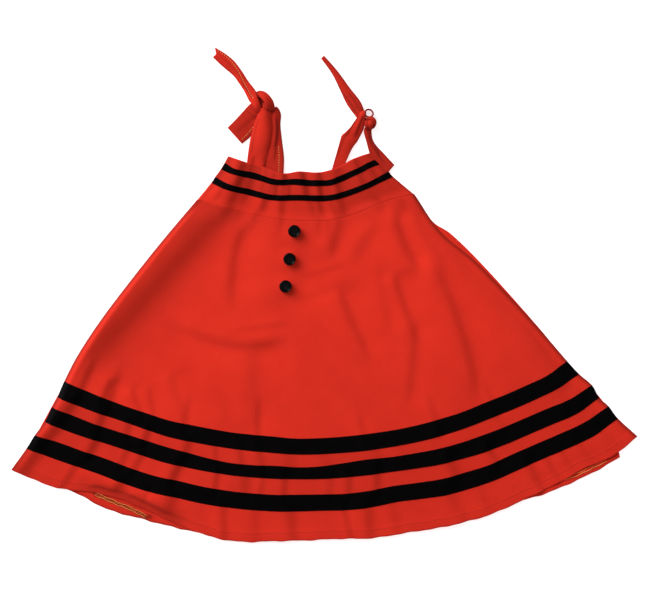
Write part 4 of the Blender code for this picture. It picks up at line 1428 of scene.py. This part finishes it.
def ribbon_on(name, surface, lines, first, last, columns, replaced, rows=14):
    """Ribbon over a panel's own surface between two of its lines, moved up off it by a gap."""
    trim = bpy.context.scene.sarafan_trim
    edge = np.array((0, 0.03, 0.07))
    places = np.concatenate([edge, np.linspace(0.13, 0.87, rows - 5), 1 - edge[::-1]])
    begin, end = line_number(lines, first), line_number(lines, last)
    across = np.sort(np.concatenate([columns, (columns[1:] + columns[:-1]) / 2]))
    plan, top = surface(across, begin + (end - begin) * places)[:2]
    thickness = trim.ribbon_thickness / MM
    middle = with_height(plan, top + RIBBON_GAP + thickness / 2)
    uv = np.stack([from_left(plan), np.linalg.norm(plan - plan[:1], axis=-1)], -1)
    return shell(name, middle, thickness, uv, "grosgrain_black", replaced)


def skirt_painted_shade(plan, across, down, from_hem):
    """Painted shade on the front: along its sides, under the yoke, over the bands and at the gap.

    Beside an edge it is m * exp(-(d / r)^2), and elsewhere it sets in by a smooth step.
    """
    wear = EDGE_SHADE * np.exp(-((from_sides(plan) / EDGE_SHADE_REACH) ** 2))
    wear = wear + LEFT_SHADE * np.exp(-((from_left(plan) / LEFT_SHADE_REACH) ** 2))
    wear = wear + TOP_SHADE * (1 - smooth_step(down / SHADE_STRETCH))[:, None]
    banded = sum(gain * smooth_step((down - line) / SHADE_STRETCH) for line, gain in BAND_SHADE)
    fade = 1 - BAND_SHADE_LOSS * smooth_step((across - BAND_SHADE_START) / BAND_SHADE_SPAN)
    wear = wear + banded[:, None] * fade
    gap = smooth_step((across - GAP_START) / GAP_BLUR)
    gap = gap * (1 - smooth_step((across - GAP_END) / GAP_BLUR))
    hem = HEM_SHADE * (1 - HEM_SHADE_LOSS * right_share(across)) + GAP_SHADE * gap
    return np.minimum(wear + hem * hem_share(from_hem), 1)


class SARAFAN_OT_skirt(bpy.types.Operator):
    """Makes the skirt's front and back with their folds, hems and ribbons"""

    bl_idname = "sarafan.skirt"
    bl_label = "Skirt"

    def execute(self, context):
        cloth = context.scene.sarafan_cloth
        across, down = columns_across(SKIRT_COLUMNS), rows_between(SKIRT_STEPS)
        plan, top, from_hem = skirt_front_top(across, down)
        single, turned = cloth.thickness / MM, cloth.hem_thickness / MM
        thickness = single + (turned - single) * hem_share(from_hem)
        middle = with_height(plan, top - thickness / 2)
        painted_shade = skirt_painted_shade(plan, across, down, from_hem)
        front = shell(
            "skirt_front_cloth", middle, thickness, plan, COTTON, ("skirt_front",), painted_shade
        )
        bands = [
            ribbon_on(
                f"hem_band_{k}_ribbon", skirt_front_top, SKIRT_LINES, f"band_{k}_top",
                f"band_{k}_end", across, (f"hem_band_{k}",),
            )
            for k in (1, 2, 3)
        ]
        last = len(SKIRT_LINES) - 1
        end_length = np.linalg.norm(plan[-1] - plan[np.searchsorted(down, last - 1)], axis=-1)
        stitched_row = np.interp(last - HEM_ALLOWANCE / end_length, down, np.arange(len(down)))
        surface = with_height(plan, top)
        inside = (across > 0.012) & (across < 0.988)
        path = on_grid(surface, stitched_row, np.arange(len(across), dtype=float))[inside]
        trim = context.scene.sarafan_trim
        sewing = stitches(
            "hem_stitches", path, "red_thread", trim.thread_radius / MM, trim.stitch / MM
        )
        self.back()
        return {"FINISHED"}

    def back(self):
        """The back lies flat, and the inside of its turned-up hem shows past the front's.

        It has painted shade a little all over, more at its edge and under the overlocking, and a
        painted shadow in the mouth of the left gap.
        """
        across, down = columns_across(BACK_COLUMNS), rows_between(BACK_STEPS)
        plan = panel_plan(BACK_LINES, across, down)
        near_hem = smooth_step(down - (len(BACK_LINES) - 2))[:, None]
        plan[..., 1] += BACK_HEM_UNEVEN * hem_ripple(across, 2.0) * near_hem
        from_hem = np.linalg.norm(plan - plan[-1:], axis=-1)
        level = np.full(plan.shape[:2], BACK_MIDDLE)
        for crease in BACK_CREASES:
            level = level + crease_height(plan, crease)
        turned = 1 - smooth_step((from_hem - BACK_HEM_ALLOWANCE) / BACK_HEM_END)
        thickness = BACK_THICKNESS * (1 + BACK_HEM_GAIN * turned)
        to_right = smooth_step((across - BACK_RIGHT_START) / BACK_RIGHT_SPAN)
        level = level + BACK_HEM_RAISE * turned
        level = level + BACK_RIGHT_RAISE * to_right * (1 - smooth_step(from_hem / BACK_RIGHT_REACH))
        middle = with_height(plan, level)
        # Painted shade: a little all over, more at the hem's edge, under the overlocking and in the
        # gap's mouth
        painted_shade = BACK_SHADE + BACK_EDGE_SHADE * np.exp(-((from_hem / BACK_EDGE_REACH) ** 2))
        painted_shade = painted_shade * (1 - BACK_SHADE_LOSS * to_right)
        for overlock in OVERLOCKS:
            route = smooth_through(overlock.route, np.linspace(0, 1, 60))
            away = np.linalg.norm(plan[:, :, None] - route, axis=-1).min(-1)
            painted_shade = painted_shade + overlock.shade * np.exp(-((away / overlock.reach) ** 4))
        mouth = np.linalg.norm((plan - GAP_MOUTH) / GAP_MOUTH_SIZE, axis=-1)
        painted_shade = np.minimum(painted_shade + GAP_MOUTH_SHADOW * np.exp(-(mouth**2)), 1)
        back = shell("skirt_back_cloth", middle, thickness, plan, COTTON, ("skirt_back",), painted_shade)


def yoke_painted_shade(plan, across, down):
    """Painted shade on the yoke: most where its casing is gathered, less towards the skirt.

    Beside an edge it is m * exp(-(d / r)^2), and elsewhere it goes by smooth steps.
    """
    gathered = CASING_SHADE - CASING_LOSS * smooth_step((down - CASING_END) / CASING_STRETCH)
    low = smooth_step(down - YOKE_RIGHT_LINE)
    edge = YOKE_EDGE_SHADE * np.exp(-((from_sides(plan) / EDGE_SHADE_REACH) ** 2))
    right = YOKE_RIGHT_SHADE * smooth_step((across - YOKE_RIGHT_START) / YOKE_RIGHT_SPAN)
    return np.minimum(gathered[:, None] + edge + low[:, None] * right, 1)


class SARAFAN_OT_yoke(bpy.types.Operator):
    """Makes the yoke's front and back, its gathers and its two ribbons"""

    bl_idname = "sarafan.yoke"
    bl_label = "Yoke"

    def execute(self, context):
        cloth = context.scene.sarafan_cloth
        across, down = columns_across(YOKE_COLUMNS), rows_between(YOKE_STEPS)
        plan, top = yoke_front_top(across, down)
        thickness = 2 * cloth.thickness / MM
        front = shell(
            "yoke_front_cloth", with_height(plan, top - thickness / 2), thickness, plan, COTTON,
            ("yoke_front",), yoke_painted_shade(plan, across, down),
        )
        ribbons = [
            ribbon_on(
                f"yoke_ribbon_{side}_band", yoke_front_top, YOKE_LINES, f"{side}_ribbon_top",
                f"{side}_ribbon_end", across, (f"yoke_ribbon_{side}",), rows=11,
            )
            for side in ("upper", "lower")
        ]
        back_plan = panel_plan(YOKE_LINES, across[::2], down[::2])
        back_plan[0, :, 1] -= YOKE_BACK_INSET
        back_plan[:, :, 0] += YOKE_BACK_INSET * np.linspace(1, -1, back_plan.shape[1])
        back = shell(
            "yoke_back_cloth", with_height(back_plan, BACK_MIDDLE), BACK_THICKNESS, back_plan,
            COTTON, ("yoke_back",),
        )
        return {"FINISHED"}


def strap_grid(name):
    """Middle surface of a strap through its stations, with its creases and a rounded crown."""
    stations = STRAPS[name]
    rows, columns = STRAP_ROWS * (len(stations) - 1) + 1, STRAP_COLUMNS
    along = smooth_through(stations, np.linspace(0, 1, rows))
    s = np.linspace(0, 1, columns)[None, :, None]
    left, right = along[:, None, 0:3], along[:, None, 3:6]
    points = left + (right - left) * s
    points[..., 2] += along[:, None, 6] * (1 - (2 * s[..., 0] - 1) ** 2)
    for crease in STRAP_CREASES[name]:
        points[..., 2] += crease_height(points[..., :2], crease)
    points[..., 2] = np.maximum(points[..., 2], LOWEST_STRAP)
    away = np.abs(2 * s[..., 0] - FISHTAIL_PLACE)
    cut = FISHTAILS.get(name, 0.0) * np.clip(1 - away / FISHTAIL_SPREAD, 0, 1)
    inward = unit(points[FISHTAIL_ROWS, columns // 2] - points[0, columns // 2])
    fade = 1 - smooth_step(np.arange(rows) / FISHTAIL_ROWS)
    return points + (fade[:, None] * cut)[..., None] * inward


class SARAFAN_OT_straps(bpy.types.Operator):
    """Makes the shoulder straps and their free ends, with their stitching"""

    bl_idname = "sarafan.straps"
    bl_label = "Straps"

    def execute(self, context):
        trim = context.scene.sarafan_trim
        for name in STRAPS:
            points = strap_grid(name)
            length, breadth = from_left(points.swapaxes(0, 1)).T, from_left(points)
            # Painted shade: each tie is darkened all over, more along its edges and in its creases
            edge = np.exp(-((from_sides(points) / TIE_EDGE_REACH) ** 2))
            painted_shade = TIE_SHADE[name] + TIE_EDGE_SHADE * edge
            for crease in STRAP_CREASES[name]:
                painted_shade = painted_shade + crease_painted_shade(points[..., :2], crease)
            painted_shade = np.minimum(painted_shade, 1)
            made = shell(
                name + "_cloth", points, STRAP_THICKNESS, np.stack([breadth, length], -1),
                COTTON, (name,), painted_shade,
            )
            if name in STRAP_STITCHES:
                begin, end, insets = STRAP_STITCHES[name]
                places = np.linspace(0, 1, 120)
                rows = (begin + (end - begin) * places) * (len(points) - 1)
                columns = smooth_through(insets, places) * (points.shape[1] - 1)
                path = on_grid(points + (0, 0, STRAP_THICKNESS / 2), rows, columns)
                stitches(
                        name + "_stitches", path, "gold_thread",
                        STRAP_THREAD * trim.thread_radius / MM, STRAP_STITCH * trim.stitch / MM,
                        STRAP_STITCH_SHARE,
                    )
        return {"FINISHED"}


class SARAFAN_OT_knots(bpy.types.Operator):
    """Makes the two knots from bands of cloth that wind over each other, and the small loop"""

    bl_idname = "sarafan.knots"
    bl_label = "Knots"

    def execute(self, context):
        for name, bands in KNOTS.items():
            points, faces, uv, first = [], [], [], 0
            for band in bands:
                path = smooth_through(band, np.linspace(0, 1, KNOT_RINGS * (len(band) - 1) + 1))
                rings = swept_rings(
                    path[:, :3], path[:, 3], path[:, 4], path[:, 5], KNOT_SIDES,
                    pleats=KNOT_PLEATS,
                )
                rings[..., 2] = np.maximum(rings[..., 2], LOWEST_KNOT)
                points.append(rings.reshape(-1, 3))
                faces += ring_faces(len(rings), rings.shape[1], first)
                uv.append(ring_uv(rings))
                first += len(points[-1])
            points = np.vstack(points)
            # Painted shade: the lower a point of a knot lies, the darker its colour
            deep = 1 - np.clip(points[:, 2] / points[:, 2].max(), 0, 1)
            add_piece(
                name + "_turns", points, faces, np.vstack(uv), COTTON, (name,),
                np.minimum(TIE_SHADE[name] + KNOT_DEEP_SHADE * deep**KNOT_DEEP_POWER, 1),
            )
        self.loop()
        return {"FINISHED"}

    def loop(self):
        """Tape standing on its edge: a tall thin oval carried round a slightly uneven circle."""
        around = np.linspace(0, 2 * np.pi, LOOP["turns"], endpoint=False)
        radius = LOOP["radius"] * (1 + LOOP["uneven"] * np.cos(2 * around + 1.0))
        sides = LOOP["sides"]
        angle = np.arange(sides) * 2 * np.pi / sides
        out = LOOP["wall"] * np.cos(angle)
        square = np.sign(np.sin(angle)) * np.abs(np.sin(angle)) ** LOOP["squareness"]
        up = LOOP["half_height"] * square
        distance = radius[:, None] + out[None, :]
        points = np.stack(
            [
                LOOP["x"] + distance * np.cos(around)[:, None],
                LOOP["y"] + distance * np.sin(around)[:, None],
                np.broadcast_to(LOOP["half_height"] + LOWEST_KNOT + up, distance.shape),
            ],
            -1,
        )
        index = np.arange(len(around) * sides).reshape(-1, sides)
        beyond, after = np.roll(index, -1, 0), np.roll(index, -1, 1)
        faces = np.stack([index, after, np.roll(beyond, -1, 1), beyond], -1).reshape(-1, 4).tolist()
        uv = np.stack(np.broadcast_arrays(up[None, :], (around * LOOP["radius"])[:, None]), -1)
        # Painted shade: the whole loop takes the full shade red
        painted_shade = np.full(distance.shape, TIE_SHADE["loop_right"])
        add_piece(
            "loop_right_tape", points.reshape(-1, 3), faces, uv.reshape(-1, 2), COTTON,
            ("loop_right",), painted_shade,
        )


class SARAFAN_OT_overlock(bpy.types.Operator):
    """Makes the orange overlocking on the hem's allowance, where it shows past the front

    Each thread keeps its place beside the middle line but for a sine's wander, and rises and falls
    with the loops that the others make over it.
    """

    bl_idname = "sarafan.overlock"
    bl_label = "Overlocking"

    def execute(self, context):
        radius = context.scene.sarafan_trim.thread_radius / MM
        for overlock in OVERLOCKS:
            middle = smooth_through(overlock.route, np.linspace(0, 1, 200))
            route = spaced(middle, OVERLOCK_STEP)
            way = unit(np.gradient(route, axis=0))
            square = np.stack([-way[:, 1], way[:, 0]], -1)
            run = np.arange(len(route)) * OVERLOCK_STEP
            phase = 2 * np.pi * (run / LOOP_LENGTH + LOOP_UNEVEN * np.sin(run * LOOP_CHANGE))
            points, faces, uv, first = [], [], [], 0
            for number, (place, size) in enumerate(overlock.threads):
                change = WANDER_CHANGE + WANDER_GAIN * number
                wander = WANDER * np.sin(run * change + number)
                plan = route + square * (overlock.reach * place + wander)[:, None]
                rise = THREAD_RISE * np.cos(phase + number)
                level = OVERLOCK_LEVEL + rise + THREAD_GAP * number
                centre = np.concatenate([plan, level[:, None]], -1)
                even = np.full(len(centre), radius * size)
                rings = swept_rings(centre, even, even, np.zeros(len(centre)), 6, fullness=1.0)
                points.append(rings.reshape(-1, 3))
                faces += ring_faces(len(rings), rings.shape[1], first)
                uv.append(ring_uv(rings))
                first += len(points[-1])
            add_piece(overlock.name, np.vstack(points), faces, np.vstack(uv), "orange_thread")
        return {"FINISHED"}


class SARAFAN_OT_buttons(bpy.types.Operator):
    """Makes the three buttons: a turned profile with a raised rim, a dish and four holes

    A hole lowers the dish by h * exp(-(d / r)^4), with d the distance from its middle.
    """

    bl_idname = "sarafan.buttons"
    bl_label = "Buttons"

    def execute(self, context):
        button = context.scene.sarafan_button
        for number in (1, 2, 3):
            node = f"button_{number}"
            low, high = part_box(node)
            radius, height = (high.x - low.x) / 2 / MM, (high.z - low.z) / MM
            rim = button.rim / MM
            dish = height - rim
            profile = np.array(
                [
                    *BUTTON_UNDERSIDE,
                    *((reach, height - fall) for reach, fall in BUTTON_RIM),
                    (RIM_SLOPE[0], height - RIM_SLOPE[1] * rim),
                    *((reach, dish - fall) for reach, fall in BUTTON_DISH),
                ]
            )
            turned = BUTTON_TURN * number
            around = np.arange(BUTTON_SIDES) * 2 * np.pi / BUTTON_SIDES + turned
            reach = profile[:, 0, None] * radius
            x, y = reach * np.cos(around), reach * np.sin(around)
            z = np.broadcast_to(profile[:, 1, None], x.shape).copy()
            # The holes are sunk into the rows from the rim's inner slope on.
            slope = len(BUTTON_UNDERSIDE) + len(BUTTON_RIM) - 1
            for quarter in range(4):
                turn = quarter * np.pi / 2 + turned + HOLE_TURN
                hole = np.array((np.cos(turn), np.sin(turn))) * radius * HOLE_PLACE
                away = np.hypot(x - hole[0], y - hole[1]) / (button.hole / MM)
                z[slope:] -= HOLE_DEPTH * np.exp(-(away[slope:] ** 4))
            points = np.stack([x, y, z], -1).reshape(-1, 3) + button_spots()[number - 1]
            faces = ring_faces(len(profile), BUTTON_SIDES)
            uv = np.stack([x, y], -1).reshape(-1, 2)
            add_piece(
                node + "_moulding", points, faces, uv, "moulded_polyester_black", (node,)
            )
        return {"FINISHED"}


class SARAFAN_OT_stage(bpy.types.Operator):
    """Makes the floor, the lights and the camera straight above the dress"""

    bl_idname = "sarafan.stage"
    bl_label = "Stage"

    def execute(self, context):
        stage = context.scene.sarafan_stage
        self.floor(stage)
        self.lights(context, stage)
        data = bpy.data.cameras.new("camera")
        data.sensor_width = 36.0
        data.lens = data.sensor_width * stage.height / stage.across
        camera = bpy.data.objects.new("camera", data)
        camera.location = (*CAMERA_PLACE, stage.height)
        context.collection.objects.link(camera)
        context.scene.camera = camera
        context.scene.view_settings.view_transform = "Standard"
        context.scene.view_settings.look = "None"
        return {"FINISHED"}

    def floor(self, stage):
        """A wide plane of matt white board."""
        material = bpy.data.materials.new("white_board")
        material.use_nodes = True
        tree = material.node_tree
        shader = tree.nodes["Principled BSDF"]
        grain = add_node(tree, "ShaderNodeTexCoord")
        noise = add_node(
            tree, "ShaderNodeTexNoise", {"Scale": 40.0, "Detail": 3.0},
            {"Vector": grain.outputs["Object"]},
        )
        tone = add_node(
            tree, "ShaderNodeMix",
            {6: rgba(stage.floor_colour), 7: rgba(linear("#f6f6f6"))},
            {0: noise.outputs["Fac"]}, data_type="RGBA",
        )
        tree.links.new(tone.outputs[2], shader.inputs["Base Color"])
        shader.inputs["Roughness"].default_value = 0.9
        shader.inputs["Specular IOR Level"].default_value = 0.1
        shader.inputs["Emission Color"].default_value = (1.0, 1.0, 1.0, 1.0)
        shader.inputs["Emission Strength"].default_value = 0.66
        mesh = bpy.data.meshes.new("floor")
        corners = [
            (FLOOR_HALF * x, FLOOR_HALF * y, FLOOR_LEVEL)
            for x, y in ((-1, -1), (1, -1), (1, 1), (-1, 1))
        ]
        mesh.from_pydata(corners, [], [(0, 1, 2, 3)])
        mesh.materials.append(material)
        floor = bpy.data.objects.new("floor", mesh)
        bpy.context.collection.objects.link(floor)

    def lights(self, context, stage):
        """A soft key at the upper left and an even light from all round."""
        data = bpy.data.lights.new("key", "AREA")
        data.shape = "SQUARE"
        data.size = KEY_SIDE
        data.energy = stage.key
        key = bpy.data.objects.new("key", data)
        key.location = KEY_PLACE
        context.collection.objects.link(key)
        aim = Vector(KEY_AIM) - key.location
        key.rotation_euler = aim.to_track_quat("-Z", "Y").to_euler()
        world = bpy.data.worlds.new("even_light")
        world.use_nodes = True
        background = world.node_tree.nodes["Background"]
        background.inputs["Color"].default_value = (1.0, 1.0, 1.0, 1.0)
        background.inputs["Strength"].default_value = stage.sky
        context.scene.world = world


class SARAFAN_PT_sidebar(bpy.types.Panel):
    """Lists the steps and their settings"""

    bl_idname = "SARAFAN_PT_sidebar"
    bl_label = "Sarafan"
    bl_space_type = "VIEW_3D"
    bl_region_type = "UI"
    bl_category = "Sarafan"

    def draw(self, context):
        layout = self.layout
        for operator in OPERATORS:
            layout.operator(operator.bl_idname)
        for group in GROUPS:
            settings = getattr(context.scene, GROUPS[group])
            box = layout.box()
            box.label(text=group.__doc__)
            for name in group.__annotations__:
                box.prop(settings, name)


GROUPS = {
    SarafanCloth: "sarafan_cloth",
    SarafanTrim: "sarafan_trim",
    SarafanButton: "sarafan_button",
    SarafanStage: "sarafan_stage",
}
OPERATORS = (
    SARAFAN_OT_skirt,
    SARAFAN_OT_yoke,
    SARAFAN_OT_straps,
    SARAFAN_OT_knots,
    SARAFAN_OT_overlock,
    SARAFAN_OT_buttons,
    SARAFAN_OT_stage,
)


def register():
    for kind in (*GROUPS, *OPERATORS, SARAFAN_PT_sidebar):
        bpy.utils.register_class(kind)
    for group, name in GROUPS.items():
        setattr(bpy.types.Scene, name, bpy.props.PointerProperty(type=group))


def unregister():
    for name in GROUPS.values():
        delattr(bpy.types.Scene, name)
    for kind in reversed((*GROUPS, *OPERATORS, SARAFAN_PT_sidebar)):
        bpy.utils.unregister_class(kind)


def main():
    """Makes every piece in order."""
    register()
    bpy.ops.sarafan.skirt()
    bpy.ops.sarafan.yoke()
    bpy.ops.sarafan.straps()
    bpy.ops.sarafan.knots()
    bpy.ops.sarafan.overlock()
    bpy.ops.sarafan.buttons()
    bpy.ops.sarafan.stage()


if __name__ == "__main__":
    main()
